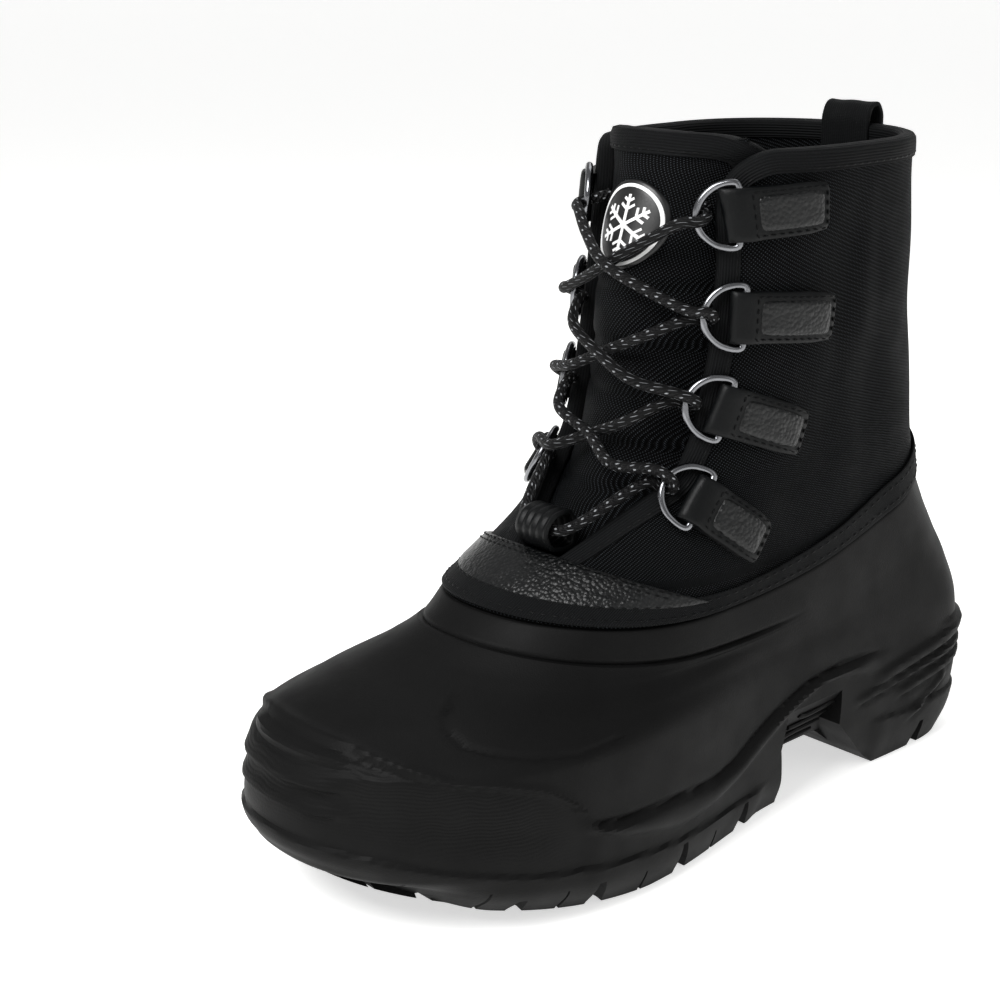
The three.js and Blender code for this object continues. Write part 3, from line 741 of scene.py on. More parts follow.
# ---------------------------------------------------------------- shell and sole
# (along, up) of the line over the toe cap and down the side, and of the band's lower edge.
EDGE_LINE = np.array([
    (0, 50), (30, 49), (53, 48.2), (77, 50.9), (95, 51), (113, 49.3), (129, 44.2), (146, 38.1),
    (158, 32.5), (172, 30.4), (196, 32.9), (220, 34), (232, 35.5), (242, 45.3), (251, 51.6),
    (266, 56.3), (280, 58.8), (290, 63), (297, 66), (305, 67.6), (312, 68)])
BAND_LOW = np.array([
    (60, 40), (84, 44.3), (95, 46.6), (107, 46.4), (124, 40.5), (145, 30.3), (155, 25.6), (169, 21.5),
    (184, 20.1), (195, 21), (221, 28), (232, 33)])
LUG_TOP = np.array([(0, 20), (54, 19.6), (64, 21), (150, 14), (187, 15), (235, 20), (255, 23),
                    (282, 29), (300, 34), (312, 36)])
OVAL = [(16, 250, 79), (17.5, 259, 75.8), (21.6, 266, 72.7), (27, 269.7, 70.2), (34.7, 269.8, 67.3),
        (42.7, 263.3, 65.3), (51.1, 252, 62.9), (56, 238, 61.9), (57.2, 221, 62.8)]
# Ends (along, up) of the sweeping bars on the heel's sides, their height and half width.
HEEL_BARS = [((72, 38.5), (2, 47.5), 1.7, 2.4), ((84, 32.5), (2, 40.5), 1.2, 1.6),
             ((58, 28), (2, 35.5), 1.1, 1.6), ((50, 15), (20, 29), 1.0, 1.5)]
TOE_RIBS = [63.5, 55, 46.5]
NOTCHES = [(278, 9, 15), (255, 9, 13), (227, 9, 13), (186, 8, 13), (146, 9, 12.5), (38, 8, 11)]
SLITS = [290, 267, 241, 207, 166]
ARCH_REAR, ARCH_LEAN, ARCH_FRONT, ARCH_HIGH = 64, 20, 120, 15
FLANK_REAR, FLANK_FRONT, FLANK_LOW, FLANK_HIGH = 92, 127, 26, 41
FLANK_EDGE, FLANK_ARCH = 52.5, 34


def distance_to(points, line):
    """Distance of each point from a polyline."""
    best = np.full(points.shape[:-1], 1e9)
    for a, b in zip(line, line[1:]):
        ab = b - a
        t = np.clip(((points - a) @ ab) / (ab @ ab), 0, 1)
        best = np.minimum(best, np.linalg.norm(points - a - t[..., None] * ab, axis=-1))
    return best


def shell_relief(points, heights_from_ridge):
    """How far the moulding's lines stand out of the shell, in millimetres."""
    across, along, up = points[..., 0] - SWING_SHIFT, MIDDLE - points[..., 1], points[..., 2]
    edge = np.interp(along, *EDGE_LINE.T)
    low = np.interp(along, *BAND_LOW.T)
    below = edge - up
    toe = ease((along - 230) / 10)
    relief = -1.7 * toe * ease(below / 1.6 + 0.3) * (1 - ease((below - 14) / 16))
    relief += 0.8 * toe * np.exp(-((below + 1.2) / 1.1) ** 2)
    band = np.clip(below / np.maximum(edge - low, 2), 0, 1)
    side = ease((along - 58) / 30) * (1 - toe)
    relief += side * 2.3 * np.sin(np.pi * band) ** 0.7
    relief -= side * 1.2 * np.exp(-(below / 1.2) ** 2)
    lug_top = np.interp(along, *LUG_TOP.T)
    arch = ease((along - 64) / 8) * (1 - ease((along - 132) / 10))
    relief += 1.4 * ease((lug_top - up) / 1.2 + 0.5) * (1 - arch)
    relief -= 4.0 * ease((along - 262) / 30) * ease((26 - up) / 9)
    groove = ease((along - 112) / 40)
    relief += groove * (-1.2 * np.exp(-(heights_from_ridge / 0.8) ** 2)
                        + 0.45 * ease(-heights_from_ridge / 1.2) * ease((heights_from_ridge + 14) / 12))
    for mirror in (1, -1):
        line = place(*np.array(OVAL).T * np.array([[mirror], [1], [1]]))
        fade = np.minimum(1, np.linalg.norm(points - line[0], axis=-1) / 14)
        relief -= 1.1 * fade * np.exp(-(distance_to(points, line) / 1.15) ** 2)
    tip = ease((34 - np.abs(across + 13)) / 16) * (along > 270)
    for rib in TOE_RIBS:
        rise = up - rib
        relief += tip * 2.8 * np.exp(-(np.clip(rise, 0, None) / 4) ** 2) * ease(rise / 1.0 + 0.5)
    for (a0, z0), (a1, z1), high, half in HEEL_BARS:
        t = np.clip((a0 - along) / (a0 - a1), 0, 1)
        off = up - (z0 + (z1 - z0) * t)
        ends = ease((a0 - along) / 8) * (ease((along - a1) / 6) if a1 > 10 else 1)
        relief += ends * (high * ease(1.5 - np.abs(off) / half)
                          - 0.7 * np.exp(-((off + 1.7 * half) / 1.1) ** 2))
    relief += 1.3 * ease((30 - along) / 12) * ease((51.5 - up) / 1.5) * ease((up - 44) / 6)
    return relief


SHELL_TURNS = 400


def shell_points():
    """Rows of rings: tread, outside, rim, inside and floor, closed along the middle."""
    turns = np.linspace(0, 1, SHELL_TURNS + 1)
    rows = [ring(section(SHELL, 0), turns, shrink) for shrink in np.linspace(0, 0.985, 9)]
    levels = np.concatenate([np.linspace(0, 0.12, 4), np.linspace(0.2, RIM - 0.1, 128),
                             np.linspace(RIM - 0.06, RIM, 3)])
    outside = np.array([ring(section(SHELL, v), turns) for v in levels])
    run = lengths_along(outside, 0)
    ridge_row = np.argmin(np.abs(levels - RIDGE))
    du, dv = np.gradient(outside, axis=1), np.gradient(outside, axis=0)
    du[:, 0] = du[:, -1] = outside[:, 1] - outside[:, -2]
    normal = unit(np.cross(du, dv))
    relief = shell_relief(outside, run - run[ridge_row])
    relief[-4:] -= np.array([0, 0.1, 0.35, 0.8])[:, None]
    outside = outside + normal * relief[..., None]
    outside[..., 2] = np.maximum(outside[..., 2], 0)
    rows += list(outside)
    for wall, drop in ((1.6, 0.0), (3.2, 0.0), (4.4, 0.3)):
        lip = ring(section(SHELL, RIM, wall), turns)
        lip[:, 2] -= drop
        rows.append(lip)
    for v in np.concatenate([np.linspace(RIM - 0.05, 3, 16), [2.6, 2.3]]):
        rows.append(ring(section(SHELL, v, SHELL_WALL), turns))
    for shrink in np.linspace(1, 0, 6):
        rows.append(ring(section(FOOTBED, 0), turns, shrink))
    return np.array(rows)


def prism(name, outline, axes, start, end):
    """A cutter: an outline in the plane of two axes, drawn out along the third."""
    start_clean()
    bpy.ops.mesh.primitive_circle_add(vertices=len(outline), fill_type="NGON")
    obj = bpy.context.object
    obj.name = name
    points = np.zeros((len(outline), 3))
    for (u, v), row in zip(outline, points):
        row[axes[0]], row[axes[1]], row[axes[2]] = u, v, start
    set_coordinates(obj, points * MM)
    draw = [0, 0, 0]
    draw[axes[2]] = (end - start) * MM
    edit(obj, (bpy.ops.mesh.extrude_region_move, {"TRANSFORM_OT_translate": {"value": draw}}))
    outwards(obj)
    return obj


def cut(obj, cutter, operation="DIFFERENCE"):
    modify(obj, "BOOLEAN", object=cutter, operation=operation, solver="MANIFOLD")
    bpy.data.objects.remove(cutter)


X, Y, Z = 0, 1, 2
TREAD_HALF = 75


def sole_cutters():
    middle = MIDDLE
    made = []
    for along, wide, high in NOTCHES:
        centre, half, _ = across_at(section(SHELL, 0), along)
        y = middle - along
        lean = 2.2 if along > 60 else -1.5
        outline = [(y - wide / 2, -3), (y + wide / 2, -3), (y + 1.3 - lean, high), (y - 1.3 - lean, high)]
        for side in (1, -1):
            inner = centre[0] + SWING_SHIFT + side * (half[0] - 17)
            ends = sorted([inner, side * TREAD_HALF])
            made.append(prism("notch", outline, (Y, Z, X), *ends))
        groove = [(y - 2.5, -3), (y + 2.5, -3), (y + 1.6, 5), (y - 1.6, 5)]
        made.append(prism("groove", groove, (Y, Z, X), -TREAD_HALF, TREAD_HALF))
    for along in SLITS:
        centre, half, up = across_at(section(SHELL, 0), along)
        y = middle - along
        top = up[0] + 9
        outline = [(y - 0.9, -3), (y + 0.9, -3), (y - 1.2, top), (y - 1.9, top)]
        for side in (1, -1):
            inner = centre[0] + SWING_SHIFT + side * (half[0] - 11)
            made.append(prism("slit", outline, (Y, Z, X), *sorted([inner, side * TREAD_HALF])))
    arch = [(middle - ARCH_REAR, -3), (middle - ARCH_REAR, 0), (middle - ARCH_REAR - ARCH_LEAN, ARCH_HIGH),
            (middle - ARCH_FRONT + 16, ARCH_HIGH), (middle - ARCH_FRONT + 4, 8), (middle - ARCH_FRONT, -3)]
    made.append(prism("arch", arch, (Y, Z, X), -TREAD_HALF, TREAD_HALF))
    for side in (1, -1):
        outline = [(middle - ARCH_REAR, -3), (middle - FLANK_REAR, FLANK_LOW),
                   (middle - FLANK_REAR, FLANK_HIGH), (middle - FLANK_FRONT + 3, FLANK_HIGH),
                   (middle - FLANK_FRONT, FLANK_LOW), (middle - ARCH_FRONT, -3)]
        wedge = [(SWING_SHIFT + side * half, up) for half, up in (
            (FLANK_ARCH, -3), (FLANK_ARCH, ARCH_HIGH), (FLANK_EDGE, FLANK_HIGH),
            (TREAD_HALF, FLANK_HIGH), (TREAD_HALF, -3))]
        flank = prism("flank", wedge, (X, Z, Y), -middle, middle)
        cut(flank, prism("flank_plan", outline, (Y, Z, X), -TREAD_HALF, TREAD_HALF), "INTERSECT")
        made.append(flank)
    return made


def build_shell():
    """The moulded shell and lugged sole, with its relief lines."""
    points = shell_points()
    shell = laid_grid("shell_and_sole", points, merge=0.02)
    outwards(shell)
    for cutter in sole_cutters():
        cut(shell, cutter)
    mesh = shell.data
    flat = coordinates(shell) / MM
    along, up = MIDDLE - flat[:, 1], flat[:, 2]
    below = np.interp(along, *EDGE_LINE.T) - up
    centre = np.interp(along, [236, 262, 300, 312], [0, 1, 1, 0.6])
    hatch = centre * ease((below - 1) / 3) * (1 - ease((below - 16) / 16))
    mesh.attributes.new("hatch", "FLOAT", "POINT").data.foreach_set("value", hatch)
    finished(shell, MATERIALS["foam"], slot="eva_foam", replaces=["shell_sole"], angle=32)
    build_waist_ribs()


def build_waist_ribs():
    """Long ribs moulded on both flanks of the waist."""
    ribs_made = []
    for side in (1, -1):
        for i, share in enumerate((0.16, 0.36, 0.56, 0.76)):
            half = FLANK_ARCH + (FLANK_EDGE - FLANK_ARCH) * share
            up = ARCH_HIGH + (FLANK_HIGH - ARCH_HIGH) * share
            path = smooth_curve([place(side * (half - 0.2), ARCH_FRONT - 1 - 2 * i, up - 2.5 + i),
                                 place(side * half, 108 + i, up - 0.4),
                                 place(side * half, 90, up + 0.6)], 14)
            normal = np.tile([side * 0.8, 0, -0.6], (len(path), 1))
            tube = swept(path, normal, 2.6, 10)
            shrink = round_end(np.abs(np.linspace(-1, 1, len(path))), 6)[:, None, None]
            tube = path[:, None] + (tube - path[:, None]) * np.maximum(shrink, 0.02)
            ribs_made.append(laid_grid("rib", tube, merge=0.02))
    piece = joined("waist_ribs", ribs_made)
    outwards(piece)
    finished(piece, MATERIALS["foam"], slot="eva_foam")


def build_insole():
    """The footbed with its pile."""
    turns = np.linspace(0, 1, 181)
    rows = [ring(section(FOOTBED, 0, 1.5), turns, k) for k in (0, 0.5, 0.98)]
    for wall, lift in ((1.5, 0.6), (1.5, 2.8), (2.0, 3.8), (3.2, 4.2)):
        points = ring(section(FOOTBED, 0, wall), turns)
        points[:, 2] += lift
        rows.append(points)
    for shrink in np.linspace(0.9, 0, 8):
        points = ring(section(FOOTBED, 0, 3.2), turns, shrink)
        points[:, 2] += 4.2
        rows.append(points)
    rows = np.array(rows)
    rows[:, :, 2] += GAP
    insole = laid_grid("insole_pile", rows, merge=0.02)
    outwards(insole)
    finished(insole, MATERIALS["pile"], slot="footbed", replaces=["insole"])


# ---------------------------------------------------------------- shaft and what is sewn to it
SHAFT_COLS = 121  # points from heel to throat edge


def shaft_rows():
    """The shaft's cloth from one throat edge round the heel to the other, row by row."""
    rows = []
    for level in np.concatenate([np.linspace(0, 3.6, 96), np.linspace(3.62, COLLAR, 40)]):
        s = section(SHAFT, level)
        halves = []
        for side in (1, -1):
            share = np.linspace(0, 1, 600)
            along = along_of(s, share)
            centre, half, up = across_at(s, along)
            points = place(centre + side * half, along, up + SEAT_GAP)
            opening = np.interp(up, THROAT_Z, THROAT_HALF)
            is_open = (centre * side + half < opening) & (along > 90) & (opening > 0)
            first = np.argmax(is_open) if is_open.any() else len(share) - 1
            run = lengths_along(points, 0)
            stop = run[first]
            if is_open.any() and first > 0:
                clear = (centre * side + half - opening)[first - 1:first + 1]
                share_in = clear[0] / max(clear[0] - clear[1], 1e-6)
                stop = run[first - 1] + (run[first] - run[first - 1]) * share_in
            places = np.linspace(0, stop, SHAFT_COLS)
            halves.append(np.stack([np.interp(places, run, points[:, k]) for k in range(3)], -1))
        rows.append(np.concatenate([halves[0][::-1], halves[1][1:]]))
    return np.array(rows)


def soften(points):
    """Low swells of the padding, strongest between the rows of tabs."""
    du, dv = np.gradient(points, axis=1), np.gradient(points, axis=0)
    normal = unit(np.cross(du, dv))
    along, up = MIDDLE - points[..., 1], points[..., 2]
    swell = 0.5 * np.sin(along / 17 + 0.6) * np.sin(up / 21 + 0.4) + 0.35 * np.sin(up / 9 + along / 14)
    hold = ease((up - 120) / 20) * ease((243 - up) / 14)
    return points + normal * (swell * hold)[..., None]


def border_of(rows):
    """The shaft's free edge: up one side of the throat, round the collar and down the other side."""
    foot = np.argmax(np.linalg.norm(rows[:, 0] - rows[:, -1], axis=-1) > 1.0)
    edge = np.concatenate([rows[foot:, 0], rows[-1, 1:-1], rows[foot:, -1][::-1]])
    edge = even_steps(edge, 2.0)
    for _ in range(4):
        edge[1:-1] = (edge[:-2] + 2 * edge[1:-1] + edge[2:]) / 4
    return edge


# The binding's section: (distance from the edge, lift off the cloth).
BINDING = [(6.8, 0.1), (6.7, 0.75), (5.0, 0.95), (2.5, 1.0), (0.6, 0.9), (-0.5, 0.2), (-1.0, -1.2),
           (-1.0, -3.4),
           (-0.5, -4.9), (0.6, -5.5), (3.0, -5.5), (5.6, -5.3), (5.8, -4.7)]


def bound_edge(name, edge, skin, profile, flip=1):
    """Binding tape folded over an edge of the cloth, and the run of its stitches."""
    _, normal = skin.hug(edge)
    tangent = unit(np.gradient(edge, axis=0))
    inward = unit(np.cross(normal, tangent)) * flip
    columns = []
    for away, lift in profile:
        base, n = skin.hug(edge + inward * max(away, 0))
        columns.append(base + n * lift + inward * min(away, 0))
    points = np.array(columns).transpose(1, 0, 2)
    tape = laid_grid(name, points)
    modify(tape, "SOLIDIFY", thickness=0.5 * MM, offset=0)
    outwards(tape)
    run, n = skin.hug(edge + inward * 5.6, 1.05)
    return tape, (run, n)


def build_shaft():
    """The padded nylon shaft with its pile lining, and the tape that binds its free edge."""
    rows = shaft_rows()
    edge = border_of(rows)
    shaft = sheet("shaft_nylon", soften(rows), SHAFT_WALL, merge=0.02, inner=1)
    finished(shaft, MATERIALS["nylon"], MATERIALS["pile"], slot="nylon", replaces=["shaft"], angle=60)
    skin = SKINS["shaft"]
    tape, run = bound_edge("collar_and_throat_binding", edge, skin, BINDING, -1)
    finished(tape, MATERIALS["tape"], slot="webbing", angle=50)
    finished(stitches("collar_stitches", [run]), MATERIALS["thread"], slot="webbing")


def build_rim_tape():
    """Ribbed tape that joins the shaft to the shell's rim, with its two rows of stitches."""
    turns = np.linspace(0, 1, 361)
    heights = np.array([0.2, 0.5, 1.5, 3.5, 6, 8.5, 10.5, 11.6, size("tape")])
    lifts = np.array([0.9, 1.35, 1.5, 1.5, 1.5, 1.5, 1.5, 1.4, 1.1])
    base = np.array([climb(turns, h) for h in heights])
    points, _ = SKINS["shaft"].hug(base, np.repeat(lifts[:, None], len(turns), 1))
    points[:, -1] = points[:, 0]
    tape = sheet("rim_tape", points, 1.0, merge=0.02)
    finished(tape, MATERIALS["tape"], slot="webbing", angle=60)
    runs = [SKINS["shaft"].hug(climb(turns, h), 1.55) for h in (2.9, 9.1)]
    finished(stitches("rim_tape_stitches", runs, 2.6, 1.6), MATERIALS["thread"], slot="webbing")


PATCH_REACH = 0.17  # share of the ring that the patch covers on each side of the toe


def patch_height(turns):
    away = np.clip(np.abs(turns - 0.5) / PATCH_REACH, 0, 1)
    return 8.5 + 21.5 * np.cos(np.pi / 2 * away) ** 0.85


def build_vamp_patch():
    """Crescent of synthetic leather over the instep, with its double row of stitches."""
    turns = np.linspace(0.5 - PATCH_REACH, 0.5 + PATCH_REACH, 121)
    top = patch_height(turns)
    shares = np.array([0, 0.2, 0.4, 0.6, 0.8, 0.93, 1.0])
    base = climb(np.tile(turns, (len(shares), 1)), 8 + (top - 8)[None] * shares[:, None])
    lifts = np.tile(np.array([1.3, 1.9, 1.9, 1.9, 1.9, 1.7, 1.3])[:, None], (1, len(turns)))
    points, _ = SKINS["shaft"].hug(base, lifts)
    patch = sheet("vamp_patch", points, 0.8, merge=0.02)
    finished(patch, MATERIALS["pebbled"], slot="synthetic_leather", angle=60)
    runs = []
    for back in (1.2, 3.4):
        keep = top - back > size("tape") + 1
        runs.append(SKINS["shaft"].hug(climb(turns[keep], (top - back)[keep]), 1.95))
    finished(stitches("vamp_patch_stitches", runs, 2.3, 1.0), MATERIALS["thread"], slot="webbing")


# ---------------------------------------------------------------- tongue, badge
def tongue_rings():
    heights = np.linspace(104, 249, 100)
    shares = np.linspace(1, -1, 49)
    rings = []
    for up in heights:
        across, along, depth = tongue_section(up, shares)
        front, back = place(across, along, up), place(across, along - depth, up)[::-1]
        rings.append(np.concatenate([front, back, front[:1]]))
    return np.array(rings)


def build_tongue():
    """The padded tongue with its folds, and the tape that binds its top."""
    rings = tongue_rings()
    capped = []
    for row, shrink, lift in ((rings[0], 0.05, -1.2), (rings[0], 0.7, -0.8)):
        centre = spine(row)
        capped.append(centre + (row - centre) * shrink + [0, 0, lift])
    capped += list(rings)
    for shrink, lift in ((0.7, 0.8), (0.05, 1.2)):
        centre = spine(rings[-1])
        capped.append(centre + (rings[-1] - centre) * shrink + [0, 0, lift])
    tongue = laid_grid("tongue_nylon", np.array(capped), merge=0.02)
    edit(tongue, (bpy.ops.mesh.fill_holes, {"sides": 0}))
    outwards(tongue)
    finished(tongue, MATERIALS["nylon"], slot="nylon", replaces=["tongue"], angle=60)
    build_tongue_binding()


def spine(row):
    """The middle between the tongue's front and back, for each point of a ring."""
    front, back = row[:49], row[49:98][::-1]
    centre = (front + back) / 2
    return np.concatenate([centre, centre[::-1], centre[:1]])


def build_tongue_binding():
    outline = [(37.2, 196), (37.6, 214), (36.8, 228), (35.3, 239), (32.0, 246.5), (26, 249.6), (13, 250.6)]
    outline += [(0, 250.9)] + [(-a, u) for a, u in outline[::-1]]
    flat = even_steps(smooth_curve([np.array([a, 0, u]) for a, u in outline], 10), 2.0)
    tangent = unit(np.gradient(flat, axis=0))
    inward = np.cross([0, 1, 0], tangent)
    inward *= np.sign(np.sum(inward * (np.array([0, 0, 215]) - flat), -1, keepdims=True))
    columns = []
    profile = [(6.6, 0.45, 1), (6.4, 0.9, 1), (3.5, 1.0, 1), (1.0, 0.9, 1), (-0.8, 0.0, 1), (-1.1, 0.5, 0),
               (-0.8, 0.0, -1), (1.0, 0.9, -1), (4.0, 1.0, -1), (6.2, 0.8, -1)]
    for away, lift, face in profile:
        at = flat + inward * away
        columns.append(tongue_point(at[:, 0], at[:, 2], face, lift))
    binding = laid_grid("tongue_binding", np.array(columns).transpose(1, 0, 2))
    modify(binding, "SOLIDIFY", thickness=0.5 * MM, offset=0)
    outwards(binding)
    finished(binding, MATERIALS["tape"], slot="webbing", angle=60)
    at = flat + inward * 5.2
    run = tongue_point(at[:, 0], at[:, 2], 1, 1.25)
    normal = np.tile([0.0, -1.0, 0.0], (len(run), 1))
    finished(stitches("tongue_stitches", [(run, normal)]), MATERIALS["thread"], slot="webbing")


def tongue_point(across, up, face, lift):
    """Points at the tongue's front (1), middle (0) or back (-1), lifted off it."""
    across, up = np.broadcast_arrays(np.asarray(across, float), np.asarray(up, float))
    level = np.minimum(up, 249)
    half = tongue_half(level.ravel()).reshape(up.shape)
    _, along, depth = tongue_section(level, np.clip(across / half, -1, 1), puff=False)
    return place(across, along - depth * (1 - face) / 2 + lift * face, up)


BADGE = (0.7, 220.4, 15.0)  # across, up and radius


def badge_points(radii, turns, lift):
    across, up, _ = BADGE
    rows = []
    for radius, rise in zip(radii, lift):
        rows.append(tongue_point(across + radius * np.cos(turns), up + radius * np.sin(turns), 1, rise))
    return np.array(rows)


def build_badge():
    """Plain round badge with one light ring and a six-armed snow crystal."""
    radius = BADGE[2]
    turns = np.linspace(0, 2 * np.pi, 73)
    disc = laid_grid("badge_disc", badge_points([0, 6, 11, radius - 0.6, radius, radius],
                                                turns, [1.7, 1.7, 1.7, 1.7, 1.3, 0.3]), merge=0.02)
    outwards(disc)
    finished(disc, MATERIALS["badge"], slot="webbing", angle=50)
    outer, inner = radius - 1.2, radius - 2.3
    ring_piece = laid_grid("badge_ring", badge_points([outer, outer, inner, inner], turns,
                                                      [1.6, 1.95, 1.95, 1.6]), merge=0.02)
    outwards(ring_piece)
    finished(ring_piece, MATERIALS["print"], slot="webbing", angle=50)
    arms = []
    for k in range(6):
        turn = math.pi / 6 + k * math.pi / 3
        arms.append(badge_bar(0, 10.2, turn, 1.1))
        for reach, long in ((5.2, 3.4), (7.8, 2.4)):
            for lean in (-1, 1):
                arms.append(badge_bar(0, long, turn + lean * math.pi / 3, 0.85,
                                      (reach * math.cos(turn), reach * math.sin(turn))))
    crystal = joined("badge_crystal", arms)
    outwards(crystal)
    finished(crystal, MATERIALS["print"], slot="webbing", angle=50)


def badge_bar(start, end, turn, wide, root=(0, 0)):
    """A flat bar on the badge, from start to end along a turn."""
    across, up, _ = BADGE
    way, side = (math.cos(turn), math.sin(turn)), (-math.sin(turn), math.cos(turn))
    rows = []
    for run in np.linspace(start, end, 8):
        row = []
        for off, rise in ((-0.5, 1.6), (-0.5, 1.95), (0.5, 1.95), (0.5, 1.6)):
            a = across + root[0] + way[0] * run + side[0] * off * wide
            u = up + root[1] + way[1] * run + side[1] * off * wide
            row.append(tongue_point(a, u, 1, rise).reshape(3))
        rows.append(row)
    return laid_grid("bar", np.array(rows))


# ---------------------------------------------------------------- tabs, rings, lace
def shaft_normal(side, along, up):
    p = on_shaft(side, along, up)[0]
    forward = on_shaft(side, along + 1, up)[0] - p
    rise = on_shaft(side, along, up + 1)[0] - p
    return unit(np.cross(forward, rise)) * -side


def fold_frame(row, side):
    """At a tab's fold: the middle, the way to the throat, the way of the bar, and outwards."""
    (along, up), (end_along, end_up) = row
    length = math.hypot(end_along - along, end_up - up)
    step = ((along - end_along) / length, (up - end_up) / length)
    out = shaft_normal(side, along, up)
    base = on_shaft(side, along, up)[0]
    middle = base + out * (GAP + TAB_FOLD / 2)
    forward = unit(on_shaft(side, along + step[0], up + step[1])[0] - base)
    forward = unit(forward - out * (forward @ out))
    bar = unit(np.cross(out, forward))
    return middle, forward, bar if bar[2] > 0 else -bar, out


def on_tab(row, side, run, off, lift):
    """A point of a tab: run from its fold, off its centre line, and lift off the shaft."""
    (along, up), (end_along, end_up) = row
    length = math.hypot(end_along - along, end_up - up)
    step = ((end_along - along) / length, (end_up - up) / length)
    a = along + step[0] * run - step[1] * off
    u = up + step[1] * run + step[0] * off
    flat = on_shaft(side, np.ravel(a), np.ravel(u)).reshape(np.shape(a) + (3,))
    return SKINS["shaft"].hug(flat, lift)


def tab_profile(length):
    """The tab from its far end along the shaft, round the fold and back on top: (run, lift)."""
    nose = [(1.6 - 2.9 * math.cos(t), 3.6 - 3.1 * math.sin(t)) for t in np.linspace(-1.2, 1.2, 9)]
    nose = [(r, 7.2 - l) for r, l in nose]
    bottom = [(length - 0.4, 0.5), (length * 0.75, 0.5), (length * 0.5, 0.5), (5, 0.5)]
    top = [(4.5, 6.4), (7, 5.0), (9.5, 3.9), (length * 0.5, 3.5), (length * 0.75, 3.5),
           (length - 1.6, 3.5), (length - 0.5, 3.1), (length, 2.0), (length, 1.0)]
    return np.array(bottom + nose + top + bottom[:1])


def top_lift(run):
    """Height of a tab's upper face over the shaft."""
    return np.interp(run, [4.5, 7, 9.5, 15], [6.4, 5.0, 3.9, 3.5])


def build_tab(row, side, name):
    """One folded strap: the smooth strip, its raised pebbled pad and its stitches."""
    length = math.dist(*row)
    profile = tab_profile(length)
    shares = np.concatenate([[-1, -0.97], np.linspace(-0.88, 0.88, 13), [0.97, 1]])
    half = TAB_HALF * round_end(np.clip((profile[:, 0] - length + 3.5) / 3.8, 0, 0.93), 2.4)
    run = np.repeat(profile[:, :1], len(shares), 1)
    lift = np.repeat(profile[:, 1:], len(shares), 1)
    lift = lift - np.where(lift > 1.5, 0.9 * np.abs(shares) ** 14, 0)
    points, _ = on_tab(row, side, run, shares[None] * half[:, None], lift)
    strip = laid_grid(f"tab_strip_{name}", points, merge=0.01)
    edit(strip, (bpy.ops.mesh.fill_holes, {"sides": 0}))
    outwards(strip)
    finished(strip, MATERIALS["hide"], slot="synthetic_leather", replaces=[f"ring_tab_{name}"], angle=45)
    start, stop = 7.5, length - 2.7
    r, o = np.meshgrid(np.linspace(-1, 1, 31), np.linspace(-1, 1, 25), indexing="ij")
    corner = 0.16
    run = (start + stop) / 2 + (stop - start) / 2 * r * np.sqrt(1 - corner * o ** 6)
    off = 6.3 * o * np.sqrt(1 - corner * r ** 6)
    crown = ((1 - np.abs(r) ** 7) * (1 - np.abs(o) ** 7)) ** 0.5
    points, _ = on_tab(row, side, run, off, top_lift(run) - 0.3 + 1.5 * crown)
    pad = sheet(f"tab_pad_{name}", points if side > 0 else points[:, ::-1], 1.0)
    outwards(pad)
    finished(pad, MATERIALS["pebbled"], slot="synthetic_leather", angle=60)
    corner_points = [(start - 1.1, -7.5), (stop + 0.2, -7.5), (stop + 1.2, -6.4), (stop + 1.2, 6.4),
                     (stop + 0.2, 7.5), (start - 1.1, 7.5), (start - 1.1, -7.5)]
    flat = even_steps(np.array([(a, b, 0.0) for a, b in corner_points]), 1.0)
    return on_tab(row, side, flat[:, 0], flat[:, 1], top_lift(flat[:, 0]) + 0.25)


def build_tabs():
    """The eight ring tabs."""
    runs = []
    for name, side in SIDES.items():
        for i, row in enumerate(ROWS):
            runs.append(build_tab(row, side, f"{name}_{i + 1}"))
    finished(stitches("tab_stitches", runs, 2.2, 1.1, 0.7, 0.55), MATERIALS["thread"], slot="webbing")


def build_rings():
    """The eight D-rings of wire."""
    for name, side in SIDES.items():
        for i, row in enumerate(ROWS):
            middle, forward, bar, out = fold_frame(row, side)
            at = lambda b, f: middle + bar * b + forward * (f - BAR_SETBACK)
            points = [at(-RING_HALF, 0), at(-RING_HALF / 3, 0), at(RING_HALF / 3, 0), at(RING_HALF, 0)]
            for k in range(1, 8):
                turn = math.pi * k / 8
                points.append(at(RING_HALF * math.cos(turn) * 1.06,
                                 1.5 + (RING_REACH - 1.5) * math.sin(turn)))
            path = smooth_curve(points, 8, closed=True)
            path = np.concatenate([path, path[:1]])
            tube = swept(path, np.tile(out, (len(path), 1)), size("wire"), 14, closed=True)
            tube[-1] = tube[0]
            wire = laid_grid(f"d_ring_{name}_{i + 1}", tube, merge=0.005)
            outwards(wire)
            finished(wire, MATERIALS["nickel"], slot="nickel", replaces=[f"ring_{name}_{i + 1}"], angle=60)


def tongue_front(up):
    return np.interp(up, TONGUE[:, 0], TONGUE[:, 1])


def ring_pass(row, side, first_up):
    """The lace over the wire, through the ring and out behind it."""
    middle, forward, bar, out = fold_frame(row, side)
    wire = RING_REACH - BAR_SETBACK
    lean = 1.6 * first_up
    at = lambda f, o, b: middle + forward * f + out * o + bar * b
    turns = np.radians([60, 90, 130, 180, 230, 270])
    bend = [at(wire + LACE_BEND * math.cos(t), LACE_BEND * math.sin(t), lean * math.cos((t - 1.05) * 0.85))
            for t in turns]
    return [at(wire + 5.0, 3.2, lean)] + bend[1:] + [at(wire + 4.2, -3.0, -lean)]


